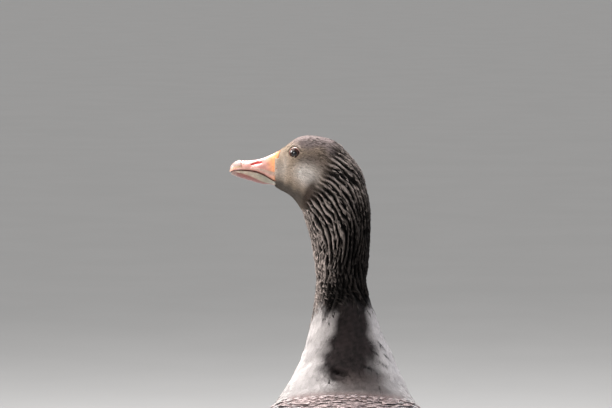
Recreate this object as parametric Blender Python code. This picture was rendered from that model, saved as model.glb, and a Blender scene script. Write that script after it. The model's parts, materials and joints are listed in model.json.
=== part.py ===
"""A domestic goose of the greylag form, life size, standing alert with its head turned to its left.

Metres, +Z up. The bird faces -Y, so its left side is +X, and the feet stand on Z = 0. The origin is under
the middle of the whole figure.

The feathered body is one loft through ribs, from the bill's base over the head, down the neck and along the
trunk to the tail's tip. It is parted by thin cuts into head, neck, trunk and tail. The wings are curved
plates that follow the same loft from outside. Bill, eyes, legs, feet and claws are solids of their own.
"""

from math import cos, pi, radians, sin

import bmesh
import bpy
import numpy as np

MM = 0.001
GAP = 0.4 * MM
AROUND = 28

# Ribs of the loft, in millimetres and degrees. Each rib is a flat egg-shaped section, given by its highest
# and lowest point on the bird's own middle plane: how far in front of the neck's axis, and how high. Then
# come the half width, how much narrower the top is than the bottom, how far the middle plane is turned to
# the bird's left, and how far the rib leans to that side.
RIBS = {
    "bill_base": ((82, 737.5), (82, 696), 18.0, 0.10, 90, 5.5),
    "lores": ((69, 746), (73, 690.5), 20.5, 0.16, 90, 5.5),
    "eye": ((55, 756.5), (64.5, 685.5), 23.5, 0.20, 90, 5.5),
    "crown": ((40, 760), (57.5, 679), 26.0, 0.20, 90, 5.5),
    "ear": ((20, 757.5), (52, 671), 27.5, 0.14, 90, 5.5),
    "nape_top": ((0, 748.5), (47.5, 662), 28.5, 0.08, 90, 5.5),
    "nape": ((-28, 714), (40.5, 639), 30.0, 0.02, 87, 5.5),
    "upper_neck": ((-38.5, 660), (34.5, 612), 32.0, 0.0, 78, 5.5),
    "middle_neck": ((-35.5, 601), (30.5, 584), 31.5, 0.0, 56, 5.5),
    "neck_waist": ((-32.5, 571), (31, 566), 32.0, 0.0, 38, 5.0),
    "neck_flare": ((-38, 529), (39, 515), 43.0, 0.0, 16, 1.0),
    "neck_root": ((-47, 502), (52, 480), 54.0, 0.0, 6, -2.5),
    "shoulder_front": ((-61, 479), (66, 446), 66.0, 0.0, 0, -3.0),
    "shoulder": ((-84, 456), (82, 406), 83.0, 0.02, 0, -1.0),
    "breast": ((-111, 445), (92, 360), 100.0, 0.02, 0, 0.0),
    "fore_keel": ((-166, 436), (67, 268), 118.0, 0.02, 0, 0.0),
    "mid_body": ((-228, 419), (-36, 196), 125.0, 0.04, 0, 0.0),
    "belly": ((-282, 394), (-172, 180), 115.0, 0.04, 0, 0.0),
    "vent": ((-330, 366), (-280, 226), 82.0, 0.0, 0, 0.0),
    "tail_root": ((-372, 348), (-346, 294), 51.0, 0.0, 0, 0.0),
    "tail_coverts": ((-400, 343), (-382, 314), 46.0, 0.0, 0, 0.0),
    "tail_middle": ((-440, 341), (-432, 327), 55.0, 0.0, 0, 0.0),
    "tail_tip": ((-486, 344), (-485, 338), 66.0, 0.0, 0, 0.0),
}
RIB_NAMES = list(RIBS)
RIB_ROUNDNESS = 2.15
NECK_AXIS_Y = -135 * MM

# Where the loft is parted, and how many rings each piece takes.
FLESH = {
    "head": ("bill_base", "nape", 16),
    "neck_upper": ("nape", "neck_waist", 8),
    "neck_lower": ("neck_waist", "shoulder_front", 8),
    "trunk": ("shoulder_front", "tail_root", 22),
    "tail": ("tail_root", "tail_tip", 9),
}

EYE_R = 7.4 * MM
EYE_FORE, EYE_UP, EYE_SIDE = 56.5 * MM, 738.5 * MM, 14.2 * MM

# The bill's stations, in millimetres: in front of the neck's axis, upper mandible's ridge and cutting edge,
# lower mandible's cutting edge and underside, half width.
BILL = (
    (82.5, 736.0, 707.0, 705.6, 698.0, 16.5),
    (94, 733.0, 711.0, 709.8, 699.0, 15.4),
    (103, 730.6, 714.0, 712.8, 700.5, 14.4),
    (111, 729.4, 715.8, 714.6, 702.5, 13.6),
    (119, 729.0, 716.8, 715.6, 705.0, 13.0),
    (126, 728.4, 715.8, 714.6, 707.2, 12.2),
    (132, 725.8, 715.0, 713.8, 708.8, 10.4),
    (136.5, 721.0, 714.2, 713.0, 710.0, 7.0),
    (138.6, 717.8, 714.6, 712.6, 711.0, 3.2),
)

# The folded wing, from wrist to tip: place along the loft between two ribs, middle and half spread of the
# angle round the body (90 is the spine, 0 the side), and thickness.
WING = (
    ("shoulder", "breast", 0.25, 24, 8, 4.0),
    ("shoulder", "breast", 0.75, 25, 22, 11.0),
    ("breast", "fore_keel", 0.4, 27, 35, 15.0),
    ("fore_keel", "mid_body", 0.1, 30, 42, 16.0),
    ("mid_body", "belly", 0.0, 33, 43, 14.0),
    ("belly", "vent", 0.0, 40, 38, 12.0),
    ("vent", "tail_root", 0.0, 52, 29, 10.0),
    ("tail_root", "tail_coverts", 0.2, 56, 27, 8.0),
    ("tail_middle", "tail_tip", 0.0, 60, 22, 6.0),
    ("tail_middle", "tail_tip", 0.45, 64, 9, 4.0),
)
WING_CLEAR = 2.0 * MM
TIP_CLEAR = 5.0 * MM
WING_EDGE = 1.6 * MM
WING_ROWS, TIP_ROWS, WING_COLUMNS = 15, 8, 11
WING_SPLIT = 6.2
TAIL_ROUNDING = 26 * MM

# Legs, in millimetres, on the bird's left: in front of the neck's axis, out from the middle, up.
LEG_SHIFT = 0.0
HIP, HEEL, TOES = (-152, 60, 226), (-186, 57, 102), (-160, 57, 13)
THIGH_R, HEEL_R, SHANK_R, ANKLE_R = 33.0, 8.6, 5.6, 6.8
TOE_ANGLES = {"inner": -31, "middle": 0, "outer": 32}
TOE_LENGTHS = {"inner": 64, "middle": 84, "outer": 77}
FOOT_TURN = 7
WEB_THICK, TOE_HIGH, TOE_HALF, PAD_R, PAD_HIGH = 2.4, 7.0, 5.2, 9.5, 11.0
CLAW_LONG, CLAW_R = 10.0, 2.6

COLOURS = {
    "plumage": ((0.30, 0.25, 0.21), 0.85),
    "neck_plumage": ((0.22, 0.18, 0.15), 0.85),
    "wing_plumage": ((0.26, 0.23, 0.21), 0.75),
    "flight_feather": ((0.07, 0.06, 0.055), 0.6),
    "tail_plumage": ((0.33, 0.29, 0.26), 0.75),
    "bill": ((0.85, 0.42, 0.25), 0.4),
    "eye": ((0.02, 0.012, 0.01), 0.05),
    "leg": ((0.78, 0.36, 0.24), 0.5),
    "claw": ((0.12, 0.09, 0.08), 0.4),
}


def clear_scene():
    for obj in list(bpy.data.objects):
        bpy.data.objects.remove(obj, do_unlink=True)
    for mesh in list(bpy.data.meshes):
        bpy.data.meshes.remove(mesh)


def collection(name):
    made = bpy.data.collections.new(name)
    bpy.context.scene.collection.children.link(made)
    return made


def material(name):
    colour, rough = COLOURS[name]
    made = bpy.data.materials.new(name)
    made.use_nodes = True
    shader = made.node_tree.nodes["Principled BSDF"]
    shader.inputs["Base Color"].default_value = (*colour, 1)
    shader.inputs["Roughness"].default_value = rough
    shader.inputs["Metallic"].default_value = 0.0
    return made


def through(keys, place):
    """A smooth curve through evenly spaced keys, read at a place counted in keys."""
    keys = np.asarray(keys, float)
    last = len(keys) - 1
    i = int(np.clip(np.floor(place), 0, last - 1))
    t = place - i
    before, start, end, after = keys[max(i - 1, 0)], keys[i], keys[i + 1], keys[min(i + 2, last)]
    leave, arrive = (end - before) / 2, (after - start) / 2
    return (
        (2 * t**3 - 3 * t**2 + 1) * start
        + (t**3 - 2 * t**2 + t) * leave
        + (3 * t**2 - 2 * t**3) * end
        + (t**3 - t**2) * arrive
    )


RIB_KEYS = [(*top, *bottom, *rest) for top, bottom, *rest in RIBS.values()]


def on_plane(fore, side, up, turn=0.0, lean=0.0):
    """A point given on the bird's own axes, in metres, with its middle plane turned about the neck's axis."""
    a = radians(turn)
    return np.array([fore * sin(a) + side * cos(a) + lean, NECK_AXIS_Y - fore * cos(a) + side * sin(a), up])


def rib(place):
    """Centre of the rib, its vector to the spine side, its unit vector to the bird's left, half width, taper."""
    row = through(RIB_KEYS, place)
    top_fore, top_up, low_fore, low_up, half = row[:5] * MM
    taper, turn, lean = row[5], row[6], row[7] * MM
    top = on_plane(top_fore, 0, top_up, turn, lean)
    low = on_plane(low_fore, 0, low_up, turn, lean)
    side = np.array([cos(radians(turn)), sin(radians(turn)), 0.0])
    return (top + low) / 2, (top - low) / 2, side, half, taper


def rounded(x):
    """The sine or cosine of an angle, pressed towards the corners so that the section is a little fuller."""
    return np.sign(x) * np.abs(x) ** (2 / RIB_ROUNDNESS)


def on_loft(place, angle):
    """The loft's surface at a rib place and an angle round it in degrees: 90 is the spine, 0 the left side."""
    centre, rise, side, half, taper = rib(place)
    c, s = rounded(cos(radians(angle))), rounded(sin(radians(angle)))
    return centre + rise * s + side * half * c * (1 - taper * s)


def loft_normal(place, angle):
    step = 0.02
    along = on_loft(place + step, angle) - on_loft(place - step, angle)
    round_it = on_loft(place, angle + 1) - on_loft(place, angle - 1)
    normal = np.cross(along, round_it)
    return normal / np.linalg.norm(normal)


def ring(place, moved=0.0):
    """The loft's ring at a place, moved along its own flat normal towards the tail."""
    centre, rise, side, _, _ = rib(place)
    flat = np.cross(side, rise)
    flat /= np.linalg.norm(flat)
    if flat @ (rib(place + 0.05)[0] - rib(place - 0.05)[0]) < 0:
        flat = -flat
    fanned = np.clip((place - RIB_NAMES.index("tail_coverts")) / 2, 0, 1) ** 2
    out = []
    for a in np.arange(AROUND) * 360 / AROUND:
        drawn_in = TAIL_ROUNDING * fanned * cos(radians(a)) ** 4
        out.append(on_loft(place, a) + flat * (moved - drawn_in))
    return out


def make_mesh(name, points, faces, finish, where):
    mesh = bpy.data.meshes.new(name)
    mesh.from_pydata([tuple(p) for p in points], [], faces)
    work = bmesh.new()
    work.from_mesh(mesh)
    bmesh.ops.recalc_face_normals(work, faces=work.faces)
    work.to_mesh(mesh)
    work.free()
    mesh.materials.append(finish)
    mesh.shade_smooth()
    mesh.set_sharp_from_angle(angle=radians(40))
    made = bpy.data.objects.new(name, mesh)
    where.objects.link(made)
    return made


def bridged_end(first, n):
    """The end of a solid as strips from each point of its upper half to the one below it."""
    strips = [[first, first + 1, first + n - 1]]
    for k in range(1, n // 2 - 1):
        strips.append([first + k, first + k + 1, first + n - k - 1, first + n - k])
    return [*strips, [first + n // 2 - 1, first + n // 2, first + n // 2 + 1]]


def skinned_rings(name, rings, finish, where, bridged=False):
    """One closed solid through rings of equal count. Its ends are flat, or bridged where they may bend."""
    n = len(rings[0])
    starts = (0, (len(rings) - 1) * n)
    faces = [face for s in starts for face in (bridged_end(s, n) if bridged else [list(range(s, s + n))])]
    for r in range(len(rings) - 1):
        for k in range(n):
            m = (k + 1) % n
            faces.append([r * n + k, r * n + m, (r + 1) * n + m, (r + 1) * n + k])
    return make_mesh(name, [p for row in rings for p in row], faces, finish, where)


def flesh_piece(name, finish, where):
    first, last, count = FLESH[name]
    start, end = RIB_NAMES.index(first), RIB_NAMES.index(last)
    places = np.linspace(start, end, count)
    rings = [ring(p) for p in places]
    rings[0] = ring(places[0], GAP / 2)
    rings[-1] = ring(places[-1], -GAP / 2)
    return skinned_rings(name, rings, finish, where, bridged=True)


def wing_row(s):
    """Loft place, middle angle, half spread and thickness of the folded wing at a place counted in its keys."""
    keys = [
        (RIB_NAMES.index(a) + (RIB_NAMES.index(b) - RIB_NAMES.index(a)) * share, *rest)
        for a, b, share, *rest in WING
    ]
    return through(keys, s)


def wing_plate(name, start, end, rows, mirror, finish, where):
    """A stretch of the folded wing: a curved plate over the loft, thick along its middle and thin at its edges."""
    tail = RIB_NAMES.index("tail_root")
    inner, outer = [], []
    for s in np.linspace(start, end, rows):
        place, middle, half, thick = wing_row(s)
        clear = WING_CLEAR + (TIP_CLEAR - WING_CLEAR) * np.clip(place - tail + 1, 0, 1)
        for t in np.linspace(-1, 1, WING_COLUMNS):
            angle = middle + half * t
            base, normal = on_loft(place, angle), loft_normal(place, angle)
            full = WING_EDGE + (thick * MM - WING_EDGE) * (1 - abs(t) ** 2.4)
            inner.append(base + normal * clear)
            outer.append(base + normal * (clear + full))
    points = inner + outer
    n, m = WING_COLUMNS, len(inner)
    faces = []
    for r in range(rows - 1):
        for k in range(n - 1):
            a = r * n + k
            faces.append([a, a + 1, a + n + 1, a + n])
            faces.append([m + a, m + a + n, m + a + n + 1, m + a + 1])
    for r in range(rows - 1):
        for k in (0, n - 1):
            a = r * n + k
            faces.append([a, a + n, m + a + n, m + a])
    for r in (0, rows - 1):
        for k in range(n - 1):
            a = r * n + k
            faces.append([a, a + 1, m + a + 1, m + a])
    if mirror:
        points = [p * (-1, 1, 1) for p in points]
    return make_mesh(name, points, faces, finish, where)


def wings(finish, where):
    for side, mirror in (("left", False), ("right", True)):
        gap = 0.01
        wing_plate(f"wing_{side}", 0, WING_SPLIT - gap, WING_ROWS, mirror, finish["wing_plumage"], where)
        end = len(WING) - 1
        wing_plate(f"primaries_{side}", WING_SPLIT + gap, end, TIP_ROWS, mirror, finish["flight_feather"], where)


def on_head(fore, side, up):
    return on_plane(fore, side, up, RIBS["eye"][4], RIBS["eye"][5] * MM)


def ball(name, centre, radius, where, finish=None):
    mesh = bpy.data.meshes.new(name)
    work = bmesh.new()
    bmesh.ops.create_uvsphere(work, u_segments=16, v_segments=10, radius=radius)
    work.to_mesh(mesh)
    work.free()
    mesh.shade_smooth()
    if finish:
        mesh.materials.append(finish)
    made = bpy.data.objects.new(name, mesh)
    made.location = centre
    where.objects.link(made)
    return made


def cut(obj, cutter):
    cutter.hide_render = True
    cutter.display_type = "WIRE"
    step = obj.modifiers.new(f"cut_{cutter.name}", "BOOLEAN")
    step.operation = "DIFFERENCE"
    step.object = cutter


def eyes(head, finish, where, cutters):
    for side, sign in (("left", 1), ("right", -1)):
        centre = on_head(EYE_FORE, sign * EYE_SIDE, EYE_UP)
        ball(f"eye_{side}", centre, EYE_R, where, finish["eye"])
        cut(head, ball(f"socket_{side}", centre, EYE_R + GAP, cutters))


def arch(fore, top, edge, half, count=13):
    """A section of the upper mandible: a rounded arch over a flat cutting edge."""
    out = []
    for k in range(count):
        a = pi * k / (count - 1)
        side, rise = cos(a), sin(a) ** 0.8
        out.append(on_head(fore * MM, half * MM * side * (1 - 0.30 * rise), (edge + (top - edge) * rise) * MM))
    return out


def bill(finish, where):
    upper = [arch(f, top, edge, half) for f, top, edge, _, _, half in BILL]
    lower = [arch(f, low, edge, half * 0.92) for f, _, _, edge, low, half in BILL]
    skinned_rings("bill_upper", upper, finish["bill"], where)
    skinned_rings("bill_lower", lower, finish["bill"], where)


def on_leg(fore, out, up, mirror):
    point = on_plane((fore + LEG_SHIFT) * MM, out * MM, up * MM)
    return point * (-1, 1, 1) if mirror else point


def limb(name, stations, mirror, finish, where, sides=14):
    """A limb through round stations, each a point and the radii fore-and-aft and across."""
    rings = []
    for (fore, out, up), deep, wide in stations:
        row = []
        for k in range(sides):
            a = 2 * pi * k / sides
            row.append(on_leg(fore + deep * cos(a), out + wide * sin(a), up, mirror))
        rings.append(row)
    return skinned_rings(name, rings, finish, where)


def between(a, b, t):
    return tuple(p + (q - p) * t for p, q in zip(a, b))


def thigh(side, mirror, trunk, finish, where):
    """The feathered lower leg, cut off under the belly by the trunk itself."""
    profile = ((0.0, 1.0), (0.3, 0.92), (0.55, 0.72), (0.75, 0.48), (0.9, 0.34), (1.0, 0.29))
    stations = [(between(HIP, HEEL, t), THIGH_R * r, THIGH_R * r * 0.85) for t, r in profile]
    made = limb(f"thigh_{side}", stations, mirror, finish["plumage"], where, 18)
    cut(made, trunk)
    return made


def shank(side, mirror, finish, where):
    """Bare leg from the heel joint to above the toes, swollen at both ends."""
    lift = (0, 0, -GAP / MM - 0.6)
    top = tuple(p + q for p, q in zip(HEEL, lift))
    profile = ((0.0, HEEL_R), (0.08, HEEL_R * 1.05), (0.2, HEEL_R * 0.82), (0.4, SHANK_R), (0.75, SHANK_R),
               (0.9, ANKLE_R), (1.0, ANKLE_R))
    stations = [(between(top, TOES, t), r, r * 0.84) for t, r in profile]
    limb(f"shank_{side}", stations, mirror, finish["leg"], where)


def toe_share(angle):
    """How far an angle is from the nearest toe, in degrees, and that toe's name."""
    name = min(TOE_ANGLES, key=lambda t: abs(TOE_ANGLES[t] - angle))
    return abs(TOE_ANGLES[name] - angle), name


def foot_reach(angle):
    """The foot's outline: toe tips joined by scalloped webs, and a round pad behind."""
    first, last = TOE_ANGLES["inner"], TOE_ANGLES["outer"]
    if first <= angle <= last:
        low, high = ("inner", "middle") if angle < 0 else ("middle", "outer")
        t = (angle - TOE_ANGLES[low]) / (TOE_ANGLES[high] - TOE_ANGLES[low])
        straight = TOE_LENGTHS[low] + (TOE_LENGTHS[high] - TOE_LENGTHS[low]) * t
        return straight * (1 - 0.16 * sin(pi * t) ** 0.8)
    past = min(abs(angle - first), abs(angle - last), abs(angle - last + 360), abs(angle - first - 360))
    length = TOE_LENGTHS["inner" if abs(angle - first) < abs(angle - last) and angle < 0 else "outer"]
    return max(PAD_R, min(length, TOE_HALF / max(sin(radians(min(past, 90))), 0.05)))


def foot_height(radius, angle):
    """Height of the foot's upper side: a low web, a ridge along each toe, and the knuckle where they meet."""
    off, name = toe_share(angle)
    across = radius * sin(radians(min(off, 80)))
    half = TOE_HALF * (1 - 0.3 * radius / TOE_LENGTHS[name])
    ridge = (TOE_HIGH - WEB_THICK) * (1 - 0.25 * radius / TOE_LENGTHS[name]) * np.exp(-((across / half) ** 2))
    knuckle = (PAD_HIGH - TOE_HIGH) * np.exp(-((radius / PAD_R) ** 2))
    return WEB_THICK + ridge + knuckle


def foot(side, mirror, finish, where):
    """A webbed foot: a fan about the toes' root with its upper side raised along the toes and its sole flat."""
    fan = np.concatenate([np.linspace(-36, 37, 27), np.linspace(50, 311, 7)])
    shares = (0.0, 0.11, 0.26, 0.48, 0.74, 0.94, 1.0)
    fore, out, _ = TOES
    top, n = [on_leg(fore, out, foot_height(0, 0), mirror)], len(fan)
    sole = []
    for share in shares[1:]:
        for a in fan:
            r = foot_reach(a if a < 180 else a - 360) * share
            turn = radians(a + FOOT_TURN)
            height = foot_height(r, a if a < 180 else a - 360) * (0.75 if share == 1.0 else 1.0)
            top.append(on_leg(fore + r * cos(turn), out + r * sin(turn), height, mirror))
            if share == 1.0:
                sole.append(on_leg(fore + r * cos(turn), out + r * sin(turn), 0, mirror))
    faces = [[0, 1 + k, 1 + (k + 1) % n] for k in range(n)]
    for r in range(len(shares) - 2):
        for k in range(n):
            a, b = 1 + r * n + k, 1 + r * n + (k + 1) % n
            faces.append([a, b, b + n, a + n])
    rim, base = 1 + (len(shares) - 2) * n, len(top)
    for k in range(n):
        m = (k + 1) % n
        faces.append([rim + k, rim + m, base + m, base + k])
    faces.append([base + k for k in range(n)])
    make_mesh(f"foot_{side}", top + sole, faces, finish["leg"], where)


def claw(name, root, heading, rise, long, mirror, finish, where):
    """A blunt horn claw that points along a heading and bends down to the floor."""
    rings, sides = [], 8
    for t in (0.0, 0.35, 0.7, 1.0):
        radius = CLAW_R * (1 - 0.78 * t)
        centre_up = max(radius, rise - (rise - radius) * t**1.6)
        fore = root[0] + long * t * cos(radians(heading))
        out = root[1] + long * t * sin(radians(heading))
        row = []
        for k in range(sides):
            a = 2 * pi * k / sides
            across, up = radius * cos(a), radius * sin(a)
            row.append(on_leg(fore - across * sin(radians(heading)), out + across * cos(radians(heading)),
                              centre_up + up, mirror))
        rings.append(row)
    skinned_rings(name, rings, finish["claw"], where)


def claws(side, mirror, finish, where):
    for toe, angle in TOE_ANGLES.items():
        heading = angle + FOOT_TURN
        start = TOE_LENGTHS[toe] + GAP / MM
        root = (TOES[0] + start * cos(radians(heading)), TOES[1] + start * sin(radians(heading)))
        claw(f"claw_{toe}_{side}", root, heading, CLAW_R + 0.2, CLAW_LONG, mirror, finish, where)


def hind_toe(side, mirror, finish, where):
    """The small raised toe behind the shank, with its claw drawn into the same taper."""
    start = (TOES[0] - ANKLE_R - 3.0, TOES[1] - 2, 15.5)
    profile = ((0.0, 3.4), (0.35, 3.6), (0.7, 2.6), (1.0, 1.0))
    rings, sides = [], 10
    for t, r in profile:
        row = []
        for k in range(sides):
            a = 2 * pi * k / sides
            row.append(on_leg(start[0] - 15 * t, start[1] + r * cos(a), start[2] - 8 * t**1.5 + r * sin(a), mirror))
        rings.append(row)
    skinned_rings(f"hind_toe_{side}", rings, finish["leg"], where)


def legs(trunk, finish, where):
    for side, mirror in (("left", False), ("right", True)):
        thigh(side, mirror, trunk, finish, where)
        shank(side, mirror, finish, where)
        foot(side, mirror, finish, where)
        claws(side, mirror, finish, where)
        hind_toe(side, mirror, finish, where)


def belly_cutter(cutters, finish):
    """The trunk grown by the gap, which trims the tops of the legs to it."""
    first, last, count = FLESH["trunk"]
    rings = []
    for place in np.linspace(RIB_NAMES.index(first), RIB_NAMES.index(last), count):
        angles = np.arange(AROUND) * 360 / AROUND
        rings.append([on_loft(place, a) + loft_normal(place, a) * GAP * 1.5 for a in angles])
    return skinned_rings("belly_cutter", rings, finish["plumage"], cutters)


def stand_on_origin(goose):
    """Moves the whole figure so that the origin is under the middle of its box, on the floor."""
    bpy.context.view_layer.update()
    corners = np.array([obj.matrix_world @ v.co for obj in goose.objects for v in obj.data.vertices])
    middle = (corners.min(axis=0) + corners.max(axis=0)) / 2
    for group in bpy.data.collections:
        for obj in group.objects:
            obj.location.x -= middle[0]
            obj.location.y -= middle[1]


def build():
    clear_scene()
    goose = collection("domestic_goose")
    cutters = collection("cutters")
    finish = {name: material(name) for name in COLOURS}
    dressed = {"neck_upper": "neck_plumage", "neck_lower": "neck_plumage", "tail": "tail_plumage"}
    pieces = {name: flesh_piece(name, finish[dressed.get(name, "plumage")], goose) for name in FLESH}
    wings(finish, goose)
    eyes(pieces["head"], finish, goose, cutters)
    bill(finish, goose)
    legs(belly_cutter(cutters, finish), finish, goose)
    stand_on_origin(goose)


build()
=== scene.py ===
"""A domestic goose of the greylag form, life size: its skin, feathers, bill, eyes and legs.

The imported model's own flesh and wings are read as a form: a grid of places along the bird and angles round
it. The skin lies a little inside that form, and each feather is laid over it by its place and its angle.
"""

import json
from math import cos, pi, radians, sin

import bmesh
import bpy
import numpy as np
from bpy.props import FloatProperty, FloatVectorProperty, IntProperty, PointerProperty
from mathutils import Matrix, Vector
from mathutils.bvhtree import BVHTree
from mathutils.kdtree import KDTree

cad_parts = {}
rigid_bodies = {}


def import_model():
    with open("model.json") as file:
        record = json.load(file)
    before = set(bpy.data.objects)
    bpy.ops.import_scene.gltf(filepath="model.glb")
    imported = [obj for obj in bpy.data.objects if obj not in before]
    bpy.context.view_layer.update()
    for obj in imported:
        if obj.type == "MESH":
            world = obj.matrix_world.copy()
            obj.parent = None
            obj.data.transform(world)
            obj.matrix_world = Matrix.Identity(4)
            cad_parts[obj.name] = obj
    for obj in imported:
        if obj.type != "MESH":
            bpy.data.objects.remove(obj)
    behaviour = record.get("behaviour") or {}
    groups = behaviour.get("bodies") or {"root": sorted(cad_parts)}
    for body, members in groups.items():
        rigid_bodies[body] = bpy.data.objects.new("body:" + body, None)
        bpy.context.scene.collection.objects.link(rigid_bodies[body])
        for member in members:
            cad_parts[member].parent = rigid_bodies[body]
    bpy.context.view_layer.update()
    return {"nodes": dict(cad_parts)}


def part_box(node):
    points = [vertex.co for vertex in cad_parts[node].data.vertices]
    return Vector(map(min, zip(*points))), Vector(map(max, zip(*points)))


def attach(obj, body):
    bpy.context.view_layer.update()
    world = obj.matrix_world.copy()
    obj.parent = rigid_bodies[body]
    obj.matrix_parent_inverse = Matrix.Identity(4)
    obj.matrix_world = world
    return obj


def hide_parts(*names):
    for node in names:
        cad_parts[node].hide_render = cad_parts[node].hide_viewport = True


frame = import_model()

bl_info = {
    "name": "Goose Maker",
    "version": (1, 0, 0),
    "blender": (4, 5, 0),
    "location": "3D View > Sidebar > Goose",
    "description": "Dresses the packed model of a goose in skin, feathers, bill, eyes and legs",
    "category": "Object",
}

MM = 0.001
SIDES = {"left": 1, "right": -1}

# Sections of the feathered body, in millimetres on the bird's own axes: the highest and the lowest point,
# each as how far ahead of the neck's axis and how high, then how far the section is turned to the bird's
# left in degrees, and how far it leans to that side.
SECTIONS = {
    "bill_base": ((82, 737.5), (82, 696), 90, 5.5),
    "lores": ((69, 746), (73, 690.5), 90, 5.5),
    "eye": ((55, 756.5), (64.5, 685.5), 90, 5.5),
    "crown": ((40, 760), (57.5, 679), 90, 5.5),
    "ear": ((20, 757.5), (52, 671), 90, 5.5),
    "nape_top": ((0, 748.5), (47.5, 662), 90, 5.5),
    "nape": ((-28, 714), (40.5, 639), 87, 5.5),
    "upper_neck": ((-38.5, 660), (34.5, 612), 78, 5.5),
    "middle_neck": ((-35.5, 601), (30.5, 584), 56, 5.5),
    "neck_waist": ((-32.5, 571), (31, 566), 38, 5.0),
    "neck_flare": ((-38, 529), (39, 515), 16, 1.0),
    "neck_root": ((-47, 502), (52, 480), 6, -2.5),
    "shoulder_front": ((-61, 479), (66, 446), 0, -3.0),
    "shoulder": ((-84, 456), (82, 406), 0, -1.0),
    "breast": ((-111, 445), (92, 360), 0, 0.0),
    "fore_keel": ((-166, 436), (67, 268), 0, 0.0),
    "mid_body": ((-228, 419), (-36, 196), 0, 0.0),
    "belly": ((-282, 394), (-172, 180), 0, 0.0),
    "vent": ((-330, 366), (-280, 226), 0, 0.0),
    "tail_root": ((-372, 348), (-346, 294), 0, 0.0),
    "tail_coverts": ((-400, 343), (-382, 314), 0, 0.0),
    "tail_middle": ((-440, 341), (-432, 327), 0, 0.0),
    "tail_tip": ((-486, 344), (-485, 338), 0, 0.0),
}
# A place is counted in these sections: 0 at the bill's base, 2 at the eye, 11 at the neck's root, 22 at the
# tail's tip. An angle runs round the section from the bird's left: 90 degrees is the spine, 180 the right.
PLACES = {name: i for i, name in enumerate(SECTIONS)}
FORM_ROWS, FORM_COLUMNS = 265, 144
FORM_START, FORM_END = 0.09, len(SECTIONS) - 1.02
SKIN_END = 20.4
RAY_REACH = 0.06

# The feathered leg's axis and the eye's middle, in millimetres on the same axes: ahead, aside, up.
THIGH_TOP, HEEL = (-152, 60, 226), (-186, 57, 102)
EYE = (56.5, 14.2, 738.5)
# How far from the eye's middle the flesh isn't read, and how far the small feathers keep from the lids.
EYE_SOCKET, LID_MARGIN = 10.5 * MM, 8.5 * MM

# The mandibles, in millimetres: ahead of the neck's axis, ridge or underside, cutting edge, half width.
UPPER_BILL = (
    (72, 737.0, 702.5, 14.0), (78, 739.4, 703.4, 16.2), (82.5, 737.4, 704.6, 16.3),
    (88, 734.8, 707.4, 15.8), (95, 731.9, 711.8, 15.2), (102, 729.8, 715.0, 14.6),
    (109, 728.6, 716.8, 14.1), (116, 728.1, 717.6, 13.6), (122, 728.3, 717.9, 13.0),
    (127, 728.2, 717.8, 12.2), (131, 726.9, 717.3, 10.9), (134.5, 724.6, 716.4, 8.9),
    (137, 721.6, 715.0, 6.2), (138.5, 717.6, 713.0, 3.0),
)
LOWER_BILL = (
    (74, 694.5, 701.0, 14.6), (82, 697.4, 703.0, 14.8), (88, 698.4, 705.9, 14.6),
    (95, 698.8, 710.0, 14.1), (102, 700.0, 713.2, 13.5), (109, 702.0, 715.0, 12.9),
    (116, 704.0, 716.0, 12.3), (122, 705.8, 716.3, 11.6), (127, 707.4, 716.4, 10.5),
    (131, 708.8, 716.3, 9.0), (134.5, 710.2, 715.4, 6.8), (136.8, 711.2, 713.9, 4.0),
)
NOSTRIL = ((111.0, 723.4), (98.5, 726.4))
NAIL_START = 123.5

# How far the neck's ridges have wound round it, in degrees, by the places they pass.
RIDGE_TWIST = {"ear": 0, "nape_top": 7, "nape": 22, "upper_neck": 46, "middle_neck": 68, "neck_waist": 98,
               "neck_flare": 165}

# Short partings in the right side of the neck's root, painted dark as shade: place, angle in degrees, slope
# round the neck.
PARTINGS = ((11.35, 122, 1.5), (11.55, 143, 1.5), (11.9, 131, 1.2), (11.0, 137, 1.8), (12.1, 112, 0.8))

# The dark stripe down the back of the neck's root: places, with the degrees of its middle and half width.
STRIPE_MIDDLE = ((8.6, 9.3, 9.7, 10.5, 11.0, 11.4, 12.0), (68, 82, 92, 92, 91, 90, 98))
STRIPE_SPREAD = ((8.9, 9.3, 9.7, 10.5, 11.0, 11.5, 12.2), (150, 96, 42, 39, 49, 48, 34))

# The eyeball's rings, in degrees from its axis. The lid's rings: degrees outside its opening, height over
# the ball in millimetres, and the share of the lid's own colour.
EYE_RINGS = (2, 8, 14, 20, 25, 29, 33, 38, 44, 50, 57, 66, 78, 95, 120, 150, 176)
LID_RINGS = (
    (0.0, 0.10, 1.0), (1.0, 0.4, 1.0), (2.6, 0.7, 1.0), (5.0, 0.75, 0.85),
    (7.5, 0.6, 0.5), (10, 0.4, 0.25), (13, 0.2, 0.12), (16, 0.25, 0.1),
    (20, 0.3, 0.1), (26, 0.15, 0.05), (34, -0.2, 0.0), (44, -1.3, 0.0),
    (52, -2.8, 0.0), (40, -2.6, 0.0), (20, -1.2, 0.0), (4, -0.3, 0.6),
)

# What the camera aims at: across and up, in metres.
CAMERA_AIM = (0.0446, 0.6738)

# Tones that more than one piece takes: feathers before the eye, painted shadow over the mantle, skin of the
# feathered legs, the paler fringe of breast and flank, and the rim of a small feather with its strength.
LORES = np.array((0.80, 0.68, 0.585))
MANTLE_SHADOW = np.array((0.075, 0.06, 0.057))
LEG_SKIN = (0.3, 0.27, 0.245)
PALE_FRINGE = np.array((0.47, 0.435, 0.405))
SMALL_RIM = (0.6, 0.5, 0.42, 0.1)


# ---------------------------------------------------------------- settings

def colour(name, text, value):
    return FloatVectorProperty(name=name, description=text, subtype="COLOR", size=3, min=0, max=1,
                               default=value)


def length(name, text, value):
    return FloatProperty(name=name, description=text, subtype="DISTANCE", unit="LENGTH", min=0,
                         default=value)


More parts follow.
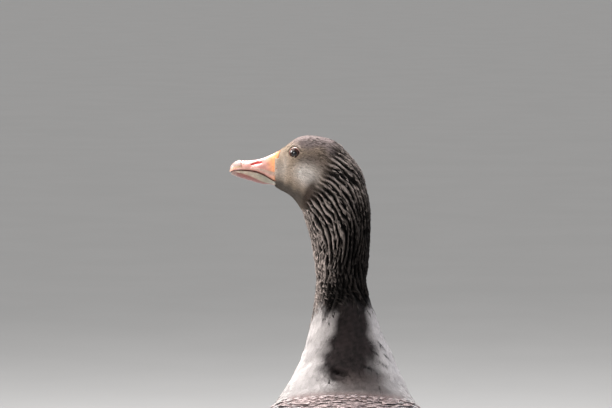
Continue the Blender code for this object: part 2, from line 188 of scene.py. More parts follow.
class GoosePlumage(bpy.types.PropertyGroup):
    """Sizes of the coat."""

    ridge_count: IntProperty(name="Neck Ridges", description="Ridges round the neck", min=8, default=46)
    ridge_depth: length("Ridge Depth", "Depth of the furrows between the neck's ridges", 5.6 * MM)
    face_depth: length("Face Coat", "Depth of the coat on the face", 2.6 * MM)
    neck_depth: length("Neck Coat", "Depth of the coat on the neck, over the furrows", 5.0 * MM)
    body_depth: length("Body Coat", "Depth of the coat on the trunk", 8.0 * MM)


class GooseColours(bpy.types.PropertyGroup):
    """Colours of the plumage and the bare parts."""

    face: colour("Face", "Feathers between bill and eye", (0.60, 0.46, 0.345))
    cheek: colour("Cheek", "Pale feathers below and behind the eye", (0.95, 0.86, 0.79))
    ear: colour("Ear", "Darker feathers behind the eye", (0.19, 0.145, 0.12))
    crown: colour("Crown", "Feathers on top of the head", (0.30, 0.24, 0.23))
    # Jaw and throat are dark with painted shade under the head and the bill.
    jaw: colour("Jaw", "Dark patch under the cheek", (0.075, 0.052, 0.042))
    throat: colour("Throat", "Feathers under the bill", (0.165, 0.14, 0.12))
    ridge: colour("Neck Ridge", "Crests of the neck's ridges", (0.54, 0.455, 0.415))
    # The furrow colour is partly dark down and partly painted shade deep in the furrows.
    furrow: colour("Neck Furrow", "Bottoms of the neck's furrows", (0.003, 0.0025, 0.0025))
    neck_side: colour("Neck Side", "Smooth feathers at the sides of the neck's root", (0.475, 0.44, 0.43))
    hind_neck: colour("Hind Neck", "Dark stripe down the back of the neck's root", (0.0125, 0.0085, 0.0085))
    mantle: colour("Mantle", "Back feathers", (0.15, 0.108, 0.102))
    fringe: colour("Fringe", "Pale fringe of the back feathers", (0.56, 0.43, 0.42))
    breast: colour("Breast", "Breast feathers", (0.17, 0.15, 0.136))
    flank: colour("Flank", "Flank feathers", (0.135, 0.115, 0.102))
    belly: colour("Belly", "Belly feathers", (0.31, 0.292, 0.27))
    white: colour("White", "Vent and tail coverts", (0.68, 0.67, 0.65))
    covert: colour("Wing Covert", "Small feathers over the front of the wing", (0.29, 0.27, 0.265))
    quill: colour("Flight Feather", "Flight feathers", (0.045, 0.04, 0.038))
    tail: colour("Tail Feather", "Long feathers of the tail", (0.115, 0.10, 0.092))
    bill: colour("Bill", "Horn of the bill", (0.52, 0.255, 0.215))
    bill_base: colour("Bill Base", "Bill where it meets the feathers", (0.84, 0.38, 0.14))
    nail: colour("Nail", "Nail at the bill's tip", (0.30, 0.19, 0.165))
    leg: colour("Leg", "Shanks and feet", (0.62, 0.30, 0.205))
    claw: colour("Claw", "Claws", (0.09, 0.07, 0.06))
    iris: colour("Iris", "Iris", (0.035, 0.014, 0.009))
    lid: colour("Lid", "Bare rim of the eye", (0.36, 0.22, 0.18))
    floor: colour("Floor", "Studio floor", (0.36, 0.355, 0.35))


class GooseStage(bpy.types.PropertyGroup):
    """The camera's distance, picture width and elevation."""

    distance: length("Camera Distance", "From the camera to the bird's neck", 4.25)
    picture_width: length("Picture Width", "Width that the picture takes in at the neck", 0.765)
    elevation: FloatProperty(name="Elevation", description="Height of the camera's view", subtype="ANGLE",
                             default=radians(5))


def hue(name):
    """A colour of the settings as three numbers."""
    return np.array(getattr(bpy.context.scene.goose_colours, name))


# ---------------------------------------------------------------- shapes in numbers

def through(keys, place):
    """A smooth curve through evenly spaced keys, read at a place counted in keys."""
    last = len(keys) - 1
    i = int(np.clip(np.floor(place), 0, last - 1))
    t = place - i
    before, start, end, after = keys[max(i - 1, 0)], keys[i], keys[i + 1], keys[min(i + 2, last)]
    leave, arrive = (end - before) / 2, (after - start) / 2
    return (
        (2 * t**3 - 3 * t**2 + 1) * start
        + (t**3 - 2 * t**2 + t) * leave
        + (3 * t**2 - 2 * t**3) * end
        + (t**3 - t**2) * arrive
    )


def ease(x, low, high):
    """0 below low, 1 above high and smooth between them."""
    t = np.clip((x - low) / (high - low), 0, 1)
    return t * t * (3 - 2 * t)


def near(angle, middle, spread):
    """1 at an angle in degrees, falling away to 0 at a spread from it."""
    gap = np.abs((angle - np.radians(middle) + pi) % (2 * pi) - pi)
    return 1 - ease(gap, np.radians(spread) * 0.35, np.radians(spread))


def bell(value, middle, spread):
    """1 where a value is at the middle, falling away on both sides in a bell of a width."""
    return np.exp(-(((value - middle) / spread) ** 2))


def near_place(place, middle, spread):
    """1 at a place, falling away to 0 at a spread from it."""
    return 1 - ease(np.abs(place - middle), spread * 0.3, spread)


def off_spine(angle):
    """Degrees round the body from the line of the spine, the same on both sides."""
    return np.degrees(np.abs((angle - pi / 2 + pi) % (2 * pi) - pi))


def waves(place, angle, pace, lobes, seed):
    """Smooth unevenness from about -1 to 1 that closes round the body."""
    rng = np.random.default_rng(seed)
    total = 0
    for _ in range(7):
        turn = place * rng.uniform(-pace, pace) + angle * rng.integers(-lobes, lobes + 1)
        total = total + np.sin(turn + rng.uniform(0, 2 * pi))
    return total / 3.2


def smooth(grid, rows, columns):
    """A grid evened out by so many rows and columns. It closes on itself across the columns."""
    past_ends, round_it = {"mode": "reflect", "reflect_type": "odd"}, {"mode": "wrap"}
    for axis, spread, beyond in ((0, rows, past_ends), (1, columns, round_it)):
        if spread <= 0:
            continue
        reach = int(3 * spread)
        offsets = np.arange(-reach, reach + 1)
        shares = np.exp(-0.5 * (offsets / spread) ** 2)
        shares /= shares.sum()
        pads = [(0, 0)] * grid.ndim
        pads[axis] = (reach, reach)
        padded = np.pad(grid, pads, **beyond)
        count = grid.shape[axis]
        grid = sum(s * np.take(padded, np.arange(k, k + count), axis=axis) for k, s in enumerate(shares))
    return grid


def between_points(grid, r0, c0, c1, fr, fc):
    """A grid read between two of its rows and two of its columns."""
    first = grid[r0, c0] * (1 - fc) + grid[r0, c1] * fc
    second = grid[r0 + 1, c0] * (1 - fc) + grid[r0 + 1, c1] * fc
    return first * (1 - fr) + second * fr


def filled(grid, tries=400):
    """A grid with its missing numbers drawn in from their neighbours."""
    holes = np.isnan(grid)
    grid = np.where(holes, np.nanmean(grid), grid)
    for _ in range(tries if holes.any() else 0):
        around = np.roll(grid, 1, 1) + np.roll(grid, -1, 1)
        up, down = np.vstack([grid[:1], grid[:-1]]), np.vstack([grid[1:], grid[-1:]])
        grid = np.where(holes, (around + up + down) / 4, grid)
    return grid


def node_tree(*names):
    """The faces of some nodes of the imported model, ready for rays."""
    points, faces = [], []
    for name in names:
        mesh = frame["nodes"][name].data
        faces += [tuple(i + len(points) for i in poly.vertices) for poly in mesh.polygons]
        points += [v.co.copy() for v in mesh.vertices]
    return BVHTree.FromPolygons(points, faces)


def middle(name):
    low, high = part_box(name)
    return (np.array(low) + np.array(high)) / 2


NECK_AXIS = np.array([middle("trunk")[0], (middle("eye_left")[1] + middle("eye_right")[1]) / 2])
SECTION_KEYS = np.array([(*top, *low, turn, lean) for top, low, turn, lean in SECTIONS.values()], float)


def on_plane(ahead, aside, up, turn, lean):
    """A point given in millimetres on the bird's own axes, its middle plane turned to the bird's left."""
    a = radians(turn)
    x = ahead * sin(a) + aside * cos(a) + lean
    y = -ahead * cos(a) + aside * sin(a)
    return np.array([NECK_AXIS[0] + x * MM, NECK_AXIS[1] + y * MM, up * MM])


def on_head(ahead, aside, up):
    return on_plane(ahead, aside, up, SECTIONS["eye"][2], SECTIONS["eye"][3])


def section(place):
    """Middle of the section at a place, its vector to the spine side, its direction to the bird's left."""
    row = through(SECTION_KEYS, place)
    top = on_plane(row[0], 0, row[1], row[4], row[5])
    low = on_plane(row[2], 0, row[3], row[4], row[5])
    return (top + low) / 2, (top - low) / 2, np.array([cos(radians(row[4])), sin(radians(row[4])), 0.0])


class Form:
    """A closed form as a grid of points, read at places along it and angles round it."""

    widest = 0.5

    def __init__(self, points, start, end, relief=None):
        self.points, self.start, self.end, self.relief = points, start, end, relief
        rows, columns = points.shape[:2]
        along = np.gradient(points, (end - start) / (rows - 1), axis=0)
        around = (np.roll(points, -1, 1) - np.roll(points, 1, 1)) / (4 * pi / columns)
        normals = np.cross(along, around)
        self.normals = normals / np.linalg.norm(normals, axis=2, keepdims=True)
        self.along = np.linalg.norm(along, axis=2)
        self.around = np.linalg.norm(around, axis=2)

    def read(self, grid, place, angle):
        """A grid of numbers or vectors at some places and angles."""
        rows, columns = self.points.shape[:2]
        r = (place - self.start) / (self.end - self.start) * (rows - 1)
        c = np.mod(angle, 2 * pi) / (2 * pi) * columns
        r0 = np.clip(np.floor(r).astype(int), 0, rows - 2)
        c0 = np.floor(c).astype(int) % columns
        c1 = (c0 + 1) % columns
        fr, fc = r - r0, c - np.floor(c)
        if grid.ndim == 3:
            fr, fc = fr[..., None], fc[..., None]
        return between_points(grid, r0, c0, c1, fr, fc)

    def metric(self, place, angle):
        """Metres for one step of place and for one radian."""
        return self.read(self.along, place, angle), self.read(self.around, place, angle)

    def at(self, place, angle, height):
        """Points at a height over the form, or under it where the height is less than nothing."""
        normal = self.read(self.normals, place, angle)
        normal = normal / np.linalg.norm(normal, axis=-1, keepdims=True)
        if self.relief is not None:
            height = height + self.relief(place, angle)
        return self.read(self.points, place, angle) + normal * height[..., None]


# ---------------------------------------------------------------- the bird's form

def ridge_reach(place, angle):
    """Where the neck is ridged: 0 on the smooth head and neck root, 1 between them."""
    down = off_spine(angle)
    start = 4.45 + 0.2 * np.sin(np.radians(down)) - 0.1 * ease(down, 110, 180)
    start = start + 0.16 * waves(place * 0, angle, 1, 14, 31)
    end = 9.4 + 0.2 * waves(place * 0, angle, 1, 8, 32)
    return ease(place, start, start + 0.7) * (1 - ease(place, end - 0.1, end + 0.5))


def ridge_turn(place, line):
    """The angle that a ridge has at a place, for the angle that it sets out from on the head."""
    wound = np.interp(place, [PLACES[name] for name in RIDGE_TWIST], np.radians(list(RIDGE_TWIST.values())))
    return line + wound * (0.66 + 0.34 * np.cos(line - radians(60)))


def ridge_line(place, angle):
    """The line of the ridge that passes a spot, as the angle it sets out from."""
    line = angle
    for _ in range(4):
        line = angle - (ridge_turn(place, line) - line)
    return line


def ridge_crest(place, angle):
    """How near a spot is to the crest of a ridge: 0 in a furrow, 1 on a crest."""
    count = bpy.context.scene.goose_plumage.ridge_count
    line = ridge_line(place, angle)
    bent = 2.1 * waves(place, line, 2.4, 5, 41) + 1.7 * waves(place, line, 8.0, 16, 42)
    first = 0.5 + 0.5 * np.cos(line * count + bent)
    second = 0.5 + 0.5 * np.cos(line * (count + 7) - bent + 2)
    share = ease(waves(place, line, 2.6, 6, 43), -0.25, 0.25)
    crest = first * (1 - share) + second * share
    return np.clip(crest * (1 + 0.38 * waves(place, line, 5.0, 16, 44)), 0, 1)


def crest_roots(first, last, gap, seed):
    """Roots along the crests of the ridges, some distance apart, with a few left out."""
    rng = np.random.default_rng(seed)
    form, place, out = Bird.body, first, []
    while place < last:
        angle = np.arange(1440) * 2 * pi / 1440
        crest = ridge_crest(np.full(1440, place), angle)
        top = (crest > np.roll(crest, 1)) & (crest >= np.roll(crest, -1)) & (crest > 0.45)
        out.append(np.stack([np.full(top.sum(), place), angle[top]]))
        place += gap / np.mean(form.read(form.along, np.full(90, place), angle[::16]))
    place, angle = np.concatenate(out, axis=1)
    place = place + rng.uniform(-0.06, 0.06, len(place))
    kept = (rng.random(len(place)) < 0.93) & (ridge_reach(place, angle) > 0.25)
    return place[kept], angle[kept]


def ridge_shade(place, angle):
    """How pale the ridges are: 1 at the sides and front of the neck, less down its back: darker plumage and
    painted shade.
    """
    down = off_spine(angle)
    return 1 - 0.93 * (1 - ease(down, 54, 108)) * ease(place, 5.2, 7.3)


def ridge_heading(place, angle):
    """The direction of the ridge that passes a spot."""
    step = 0.15
    turn = ridge_turn(place + step, ridge_line(place, angle)) - angle
    body = Bird.body
    slope = turn / step * body.read(body.around, place, angle) / body.read(body.along, place, angle)
    return np.arctan(slope) * ridge_reach(place + 0.2, angle)


def notch(place, angle):
    """The short slot where the neck's feathers part over the mantle, sunk in and painted dark as shade."""
    return near(angle, 83, 13) * bell(place - 0.25 * np.sin(4 * angle), 12.45, 0.10)


def mantle_lag(angle):
    """How many places later the trunk's feathers begin along the spine than on the breast."""
    return 1.15 * (1 - ease(off_spine(angle), 62, 98))


def body_relief(place, angle):
    """Height of the ridges and folds over the plain form."""
    depth = bpy.context.scene.goose_plumage.ridge_depth
    reach = ridge_reach(place, angle)
    ridges = -depth * reach * (1 - ridge_crest(place, angle) ** 0.8)
    uneven = 0.4 * MM * waves(place, angle, 9, 14, 51) * ease(place, 9, 10)
    return ridges + uneven - 7 * MM * notch(place, angle)


def face_relief(points, normals):
    """Pushes the head's form in round the eyes and out at the brows and cheeks."""
    for sign in SIDES.values():
        eye = on_head(EYE[0], sign * EYE[1], EYE[2])
        away = np.linalg.norm(points - eye, axis=-1)
        fore = ease(points[..., 0] - eye[0], 0, 8 * MM)
        hollow = -1.1 * MM * bell(away, 13 * MM, 3.5 * MM) * (1 - fore)
        rim = 0.9 * MM * bell(away, 8 * MM, 2.2 * MM)
        rim = np.maximum(rim, 0.9 * MM * bell(away, 9.5 * MM, 4.5 * MM) * fore)
        cheek = np.linalg.norm(points - on_head(46, sign * 26, 708), axis=-1)
        bulge = 1.3 * MM * bell(cheek, 0, 15 * MM)
        points = points + normals * (hollow + rim + bulge)[..., None]
    return points


def cast_body():
    """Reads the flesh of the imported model, and the wings over it, from the middle of each section."""
    flesh = node_tree("head", "neck_upper", "neck_lower", "trunk", "tail")
    wings = {side: node_tree(f"wing_{side}") for side in SIDES}
    eyes = [Vector(middle(f"eye_{side}")) for side in SIDES]
    out = np.full((FORM_ROWS, FORM_COLUMNS), np.nan)
    ways = np.zeros((FORM_ROWS, FORM_COLUMNS, 3))
    hearts = np.zeros((FORM_ROWS, 1, 3))
    swell = {side: np.full((FORM_ROWS, FORM_COLUMNS), np.nan) for side in SIDES}
    for r, place in enumerate(np.linspace(FORM_START, FORM_END, FORM_ROWS)):
        heart, rise, aside = section(place)
        hearts[r, 0] = heart
        up = Vector(rise / np.linalg.norm(rise))
        wide, high = [(flesh.ray_cast(Vector(heart), way)[3] or 0.02) for way in (Vector(aside), up)]
        for c in range(FORM_COLUMNS):
            a = 2 * pi * c / FORM_COLUMNS
            way = (Vector(aside) * wide * cos(a) + up * high * sin(a)).normalized()
            ways[r, c] = way
            hit, _, _, reach = flesh.ray_cast(Vector(heart), way)
            if hit is None or min((hit - eye).length for eye in eyes) < EYE_SOCKET:
                continue
            out[r, c] = reach
            for side, tree in wings.items():
                over = tree.ray_cast(hit + way * RAY_REACH, -way, RAY_REACH + 10 * MM)
                if over[0] is not None:
                    swell[side][r, c] = RAY_REACH - over[3]
    points = hearts + ways * filled(out)[..., None]
    return smooth(points, 1.6, 2.0), swell


def wing_reach(swell):
    """The places and the angles that the left wing covers, read from where the rays met it."""
    rows = np.where(np.isfinite(swell).sum(axis=1) > 3)[0]
    turned = np.roll(np.isfinite(swell), FORM_COLUMNS // 2, axis=1)
    low = np.array([np.where(turned[r])[0].min() for r in rows]) - FORM_COLUMNS // 2
    high = np.array([np.where(turned[r])[0].max() for r in rows]) - FORM_COLUMNS // 2
    step = 2 * pi / FORM_COLUMNS
    return rows, low * step, high * step


class Sheet:
    """A gently bent sheet over the floor plan, read by how far back and how far to the right a spot is."""

    widest = 1.0

    def __init__(self, *names):
        tree = node_tree(*names)
        corners = np.array([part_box(name) for name in names])
        self.low, high = corners[:, 0].min(axis=0), corners[:, 1].max(axis=0)
        self.size, self.count = high - self.low, 48
        heights = np.full((self.count, self.count), np.nan)
        for r, y in enumerate(np.linspace(self.low[1], high[1], self.count)):
            for c, x in enumerate(np.linspace(self.low[0], high[0], self.count)):
                hit = tree.ray_cast(Vector((x, y, high[2] + 0.05)), Vector((0, 0, -1)))
                if hit[0] is not None:
                    heights[r, c] = hit[0].z
        self.heights = filled(smooth(filled(heights), 2, 0))

    def metric(self, back, right):
        return np.ones(np.shape(back)), np.ones(np.shape(back))

    def at(self, back, right, height):
        last = self.count - 1.001
        r = np.clip((back - self.low[1]) / self.size[1] * (self.count - 1), 0, last)
        c = np.clip((-right - self.low[0]) / self.size[0] * (self.count - 1), 0, last)
        r0, c0 = r.astype(int), c.astype(int)
        fr, fc = r - r0, c - c0
        z = between_points(self.heights, r0, c0, c0 + 1, fr, fc)
        return np.stack([-right, back, z + height], axis=-1)

    def between(self, roots, tips):
        """Roots, lengths and headings for feathers that run between points given as across and back."""
        gap = tips - roots
        return (roots[:, 1], -roots[:, 0]), np.linalg.norm(gap, axis=1), np.arctan2(-gap[:, 0], gap[:, 1])


class Bird:
    """The forms that skin and feathers are laid on, made once."""

    body = None
    winged = None
    wing_edges = None
    legs = None


def wing_spot(s, t):
    """Place and angle on the left wing: s runs from wrist to rear, t from the lower edge to the upper."""
    places, low, high = Bird.wing_edges
    place = places[0] + np.asarray(s) * (places[-1] - places[0])
    low_at, high_at = [np.interp(place, places, edge) for edge in (low, high)]
    return place, low_at + (high_at - low_at) * (np.asarray(t) + 1) / 2


def under_wing(place, angle):
    """How far inside the wings' edges a spot is: above nothing where a wing covers it."""
    places, low, high = Bird.wing_edges
    turned = (np.where(np.cos(angle) < 0, pi - angle, angle) + pi) % (2 * pi) - pi
    start, stop = [np.interp(place, places, edge) for edge in (low, high)]
    inside = 0.86 - np.abs(turned - (start + stop) / 2) / ((stop - start) / 2)
    return np.where((place > places[0] + 0.15) & (place < places[-1] - 0.9), inside, -1)


def wing_lift(places, swell, edges):
    """The wing's height over the trunk as a grid, for both sides: full in its middle, thin at its edges."""
    rows, low, high = edges
    full = smooth(np.interp(places, places[rows], np.nanmax(swell[rows], axis=1))[:, None], 5, 0)
    start, stop = [np.interp(places, places[rows], edge)[:, None] for edge in (low, high)]
    angles = np.arange(FORM_COLUMNS) * 2 * pi / FORM_COLUMNS
    lift = 0
    for turned in (angles, pi - angles):
        turned = (turned + pi) % (2 * pi) - pi
        t = np.abs(turned[None] - (start + stop) / 2) / ((stop - start) / 2)
        lift = lift + full * np.clip(1 - t**2.4, 0, 1)
    first = places[rows[0]]
    return smooth(lift * ease(places, first + 0.2, first + 2.2)[:, None], 1.5, 1.5)


def make_forms():
    points, swell = cast_body()
    plain = Form(points, FORM_START, FORM_END)
    shaped = face_relief(points, plain.normals)
    Bird.body = Form(shaped, FORM_START, FORM_END, body_relief)
    rows, low, high = wing_reach(swell["left"])
    low, high = [smooth(edge[:, None], 4, 0)[:, 0] for edge in (low, high)]
    places = np.linspace(FORM_START, FORM_END, FORM_ROWS)
    Bird.wing_edges = (places[rows], low, high)
    lift = wing_lift(places, swell["left"], (rows, low, high))
    Bird.winged = Form(shaped + plain.normals * lift[..., None], FORM_START, FORM_END, body_relief)
    Bird.legs = {side: thigh_form(side) for side in SIDES}


def thigh_form(side):
    """The feathered leg as a form, from inside the belly down to the heel."""
    tree = node_tree(f"thigh_{side}")
    sign = SIDES[side]
    top, heel = [on_plane(ahead, sign * out, up, 0, 0) for ahead, out, up in (THIGH_TOP, HEEL)]
    rows, columns = 50, 40
    down = Vector(heel - top).normalized()
    fore = Vector((0, -1, 0))
    fore = (fore - down * fore.dot(down)).normalized()
    aside = fore.cross(down)
    reach = np.full((rows, columns), np.nan)
    hearts = np.linspace(top, heel, rows)
    turns = [2 * pi * c / columns for c in range(columns)]
    ways = np.array([fore * cos(turn) + aside * sin(turn) for turn in turns])
    for r in range(rows - 1):
        for c in range(columns):
            hit = tree.ray_cast(Vector(hearts[r]), Vector(ways[c]), RAY_REACH)
            if hit[0] is not None and hit[3] > 5 * MM:
                reach[r, c] = hit[3]
    known = np.isfinite(reach).all(axis=1)
    first, last = np.where(known)[0][[0, -1]]
    slope = (reach[first] - reach[first + 8]) / 8
    for r in range(rows):
        if r < first:
            reach[r] = reach[first] + slope * (first - r) * 0.5
        if r > last:
            reach[r] = reach[last]
    points = hearts[:, None] + ways[None] * smooth(reach, 1.2, 1.2)[..., None]
    return Form(points, 0.0, 1.0)


# ---------------------------------------------------------------- markings

def blend(first, second, share):
    return first + (second - first) * np.asarray(share)[..., None]


def head_tone(tone, place, down, soft):
    """Face, crown with a painted highlight on top, lores, ear, cheek, and throat and jaw darkened by painted
    shade.
    """
    out = np.broadcast_to(tone["face"], (*np.shape(place), 3))
    out = blend(out, tone["ear"], ease(place, 3.6, 4.8) * (1 - ease(down + soft, 70, 92)) * 0.85)
    crown = ease(place, 1.2, 2.6) * (1 - ease(down + soft, 38, 62))
    out = blend(out, tone["crown"], crown)
    # Painted highlight: the top of the crown made paler, as if lit from above.
    top = 0.75 * (1 - ease(down + soft, 10, 32)) * near_place(place, 3.0, 2.2)
    out = blend(out, tone["crown"] * 2.5, top)
    out = blend(out, LORES, near_place(place, 0.6, 1.1) * bell(down, 85, 34))
    ear = bell(place, 3.8, 0.9) * bell(down, 67, 20)
    ear = ear + 0.7 * bell(place, 2.9, 0.6) * bell(down, 74, 12)
    out = blend(out, tone["ear"], np.clip(ear, 0, 1) * 0.92)
    cheek = bell(place, 3.6, 1.3) * bell(down, 96, 16)
    out = blend(out, tone["cheek"], np.clip(1.35 * cheek, 0, 1))
    # Painted shade: the feathers under the bill and head made darker.
    throat = ease(down + soft, 106, 134) * (1 - 0.25 * ease(place, 3, 5))
    out = blend(out, tone["throat"], throat)
    # Painted shade: a dark patch in the corner under the cheek, where the head meets the neck.
    jaw = bell(place, 4.6, 0.62) * bell(down, 122, 26)
    return blend(out, tone["jaw"], np.clip(1.5 * jaw, 0, 0.92))


def neck_root_tone(tone, place, angle, turned, down):
    """The pale sides of the neck's root, the dark stripe between them and the slots in its feathers, painted
    dark as shade.
    """
    side = blend(tone["neck_side"], tone["breast"], ease(down, 110, 150))
    side = side * (1 - 0.42 * ease(place, 11.6, 13.2) * (1 - ease(down, 60, 100)))[..., None]
    centre, width = np.interp(place, *STRIPE_MIDDLE), np.interp(place, *STRIPE_SPREAD)
    stripe = near(turned, centre, width) + 0.25 * near(turned, centre - 14, width + 22)
    stripe = np.clip(stripe, 0, 1) * (1 - 0.75 * ease(place, 12.5, 13.2))
    stripe = stripe * (1 - 0.22 * ease(place, 11.3, 12.0) * ease(turned, radians(95), radians(124)))
    smudge = 0.6 * near(angle + 0.15 * waves(place, angle, 9, 7, 64), 80, 26) * near_place(place, 12.1, 0.8)
    mottle = 1 + 0.55 * waves(place, angle, 40, 40, 65) + 0.3 * waves(place, angle, 14, 12, 63)
    dark = tone["hind_neck"] * np.clip(mottle, 0.3, 2.2)[..., None]
    side = blend(side, dark, 0.98 * np.clip(stripe + smudge, 0, 1))
    pale = near(angle, 72, 12) * near_place(place, 12.95, 0.3)
    side = blend(side, tone["neck_side"] * 0.8, 0.7 * pale)
    # The slot and the partings take the furrow colour: painted shade in the gaps between the feathers.
    slots = notch(place, angle)
    for at, turn, slope in PARTINGS:
        slots = slots + 0.8 * near(angle, turn, 9) * bell(place - slope * (angle - radians(turn)), at, 0.055)
    return blend(side, tone["furrow"], np.clip(1.3 * slots, 0, 1))


def trunk_tone(tone, place, down, soft):
    """Mantle, flanks, breast, belly and the white before the tail."""
    body = blend(tone["mantle"], tone["flank"], ease(down, 55, 85))
    front = 1 - ease(place, 14.6, 16.2)
    body = blend(body, tone["breast"], ease(down, 60, 95) * front)
    body = blend(body, tone["belly"], ease(down + soft, 118, 150))
    body = blend(body, tone["white"], ease(place, 16.8, 17.8) * ease(down, 105, 130))
    return blend(body, tone["white"] * 0.75, ease(place, 17.8, 19.0))


def layered(tone, *layers):
    """A colour with others laid over it in turn, each by its share."""
    for tint, share in layers:
        tone = blend(tone, np.array(tint), share)
    return tone


def plumage_tone(place, angle):
    """The plumage's colour at some places and angles, the same for skin and feathers."""
    tone = {name: hue(name) for name in GooseColours.__annotations__}
    down = off_spine(angle)
    soft = 6 * waves(place, angle, 5, 5, 61)
    turned = angle + 0.07 * waves(place, angle, 9, 7, 62)
    out = head_tone(tone, place, down, soft)
    out = blend(out, neck_root_tone(tone, place, angle, turned, down), ease(place, 7, 8.5))
    # Pale crests and nearly black furrows: partly dark down in the furrows, partly painted shade there.
    crest = ridge_crest(place, angle)
    ridge = blend(tone["furrow"], tone["ridge"] * ridge_shade(place, angle)[..., None], crest**4.0)
    out = blend(out, ridge, ridge_reach(place, angle))
    trunk = ease(place - mantle_lag(angle), 11.95, 12.6)
    out = blend(out, trunk_tone(tone, place, down, soft), trunk)
    # Painted shadow on the mantle just behind the neck's root, right of the spine.
    painted_shadow = near(turned, 106, 36) * near_place(place, 12.9, 0.75)
    out = blend(out, MANTLE_SHADOW, 0.84 * painted_shadow)
    return np.clip(out, 0.002, 0.95)


# ---------------------------------------------------------------- meshes and finishes

def new_object(name, mesh):
    made = bpy.data.objects.new(name, mesh)
    bpy.context.scene.collection.objects.link(made)
    return made


def grid_mesh(name, spots, capped=(True, True)):
    """A mesh over a grid of points that closes round its columns, with its ends capped."""
    rows, columns = spots.shape[:2]
    faces = []
    for r in range(rows - 1):
        for c in range(columns):
            d = (c + 1) % columns
            faces.append((r * columns + c, (r + 1) * columns + c, (r + 1) * columns + d, r * columns + d))
    if capped[0]:
        faces.append(tuple(range(columns)))
    if capped[1]:
        faces.append(tuple(range(rows * columns - 1, (rows - 1) * columns - 1, -1)))
    mesh = bpy.data.meshes.new(name)
    mesh.from_pydata([tuple(p) for p in spots.reshape(-1, 3)], [], faces)
    work = bmesh.new()
    work.from_mesh(mesh)
    bmesh.ops.recalc_face_normals(work, faces=work.faces)
    work.to_mesh(mesh)
    work.free()
    mesh.shade_smooth()
    mesh.set_sharp_from_angle(angle=radians(50))
    return mesh


def settle(piece, slot, *nodes):
    """Puts a piece on the bird: it rides with the body and stands for some nodes. The slot is not used."""
    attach(piece, "root")
    if nodes:
        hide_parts(*nodes)
    return piece


def paint(mesh, name, values):
    """Writes a colour for each point of a mesh."""
    full = np.ones((len(values), 4), np.float32)
    full[:, : values.shape[1]] = values
    mesh.color_attributes.new(name, "FLOAT_COLOR", "POINT").data.foreach_set("color", full.ravel())


class Finish:
    """A material under construction: a shader and the nodes that feed it."""

    def __init__(self, name, rough=0.6, **sockets):
        self.material = bpy.data.materials.new(name)
        self.material.use_nodes = True
        self.tree = self.material.node_tree
        self.shader = self.tree.nodes["Principled BSDF"]
        self.shader.inputs["Roughness"].default_value = rough
        for socket, value in sockets.items():
            self.shader.inputs[socket.replace("_", " ")].default_value = value

    def node(self, kind, **values):
        made = self.tree.nodes.new(kind)
        for key, value in values.items():
            setattr(made, key, value)
        return made

    def link(self, source, target):
        self.tree.links.new(source, target)

    def feed(self, socket, source):
        self.link(source, self.shader.inputs[socket])

    def put(self, socket, value):
        if isinstance(value, (int, float)):
            socket.default_value = value
        elif isinstance(value, (tuple, list)):
            socket.default_value = (*value, 1) if len(value) == 3 and socket.type == "RGBA" else value
        else:
            self.link(value, socket)

    def maths(self, operation, first, second=0.0, third=0.0):
        made = self.node("ShaderNodeMath", operation=operation)
        for socket, value in zip(made.inputs, (first, second, third)):
            self.put(socket, value)
        return made.outputs[0]

    def remap(self, value, low, high, to_low=0.0, to_high=1.0):
        made = self.node("ShaderNodeMapRange", interpolation_type="SMOOTHSTEP")
        for socket, number in zip(made.inputs, (value, low, high, to_low, to_high)):
            self.put(socket, number)
        return made.outputs[0]

    def mix(self, share, first, second, kind="MIX"):
        made = self.node("ShaderNodeMix", data_type="RGBA", blend_type=kind)
        self.put(made.inputs[0], share)
        self.put(made.inputs[6], first)
        self.put(made.inputs[7], second)
        return made.outputs[2]

    def mottled(self, tone, value, dark, pale):
        """A colour under a tint that goes from dark to pale as a value rises."""
        return self.mix(1.0, tone, self.mix(self.remap(value, 0.3, 0.7), dark, pale), "MULTIPLY")

    def attribute(self, name):
        return self.node("ShaderNodeAttribute", attribute_name=name)

    def noise(self, scale, detail=3.0, rough=0.55, vector=None):
        made = self.node("ShaderNodeTexNoise")
        made.inputs["Scale"].default_value = scale
        made.inputs["Detail"].default_value = detail
        made.inputs["Roughness"].default_value = rough
        self.link(vector or self.node("ShaderNodeTexCoord").outputs["Object"], made.inputs["Vector"])
        return made.outputs["Fac"]

    def bump(self, height, depth, strength=1.0):
        made = self.node("ShaderNodeBump")
        made.inputs["Strength"].default_value = strength
        made.inputs["Distance"].default_value = depth
        self.link(height, made.inputs["Height"])
        self.feed("Normal", made.outputs[0])


def skin_finish():
    """Down close to the skin: the plumage's colour with fine hair in it."""
    f = Finish("down_over_skin", 0.85, Sheen_Weight=0.05, Sheen_Roughness=0.5, Specular_IOR_Level=0.15)
    fine, broad = f.noise(900, 3), f.noise(160, 2)
    tone = f.attribute("tone").outputs["Color"]
    tone = f.mottled(tone, fine, (0.62, 0.6, 0.58), (1, 1, 1))
    f.feed("Base Color", tone)
    f.feed("Roughness", f.remap(broad, 0.3, 0.7, 0.75, 0.95))
    f.bump(fine, 0.4 * MM)
    return f.material


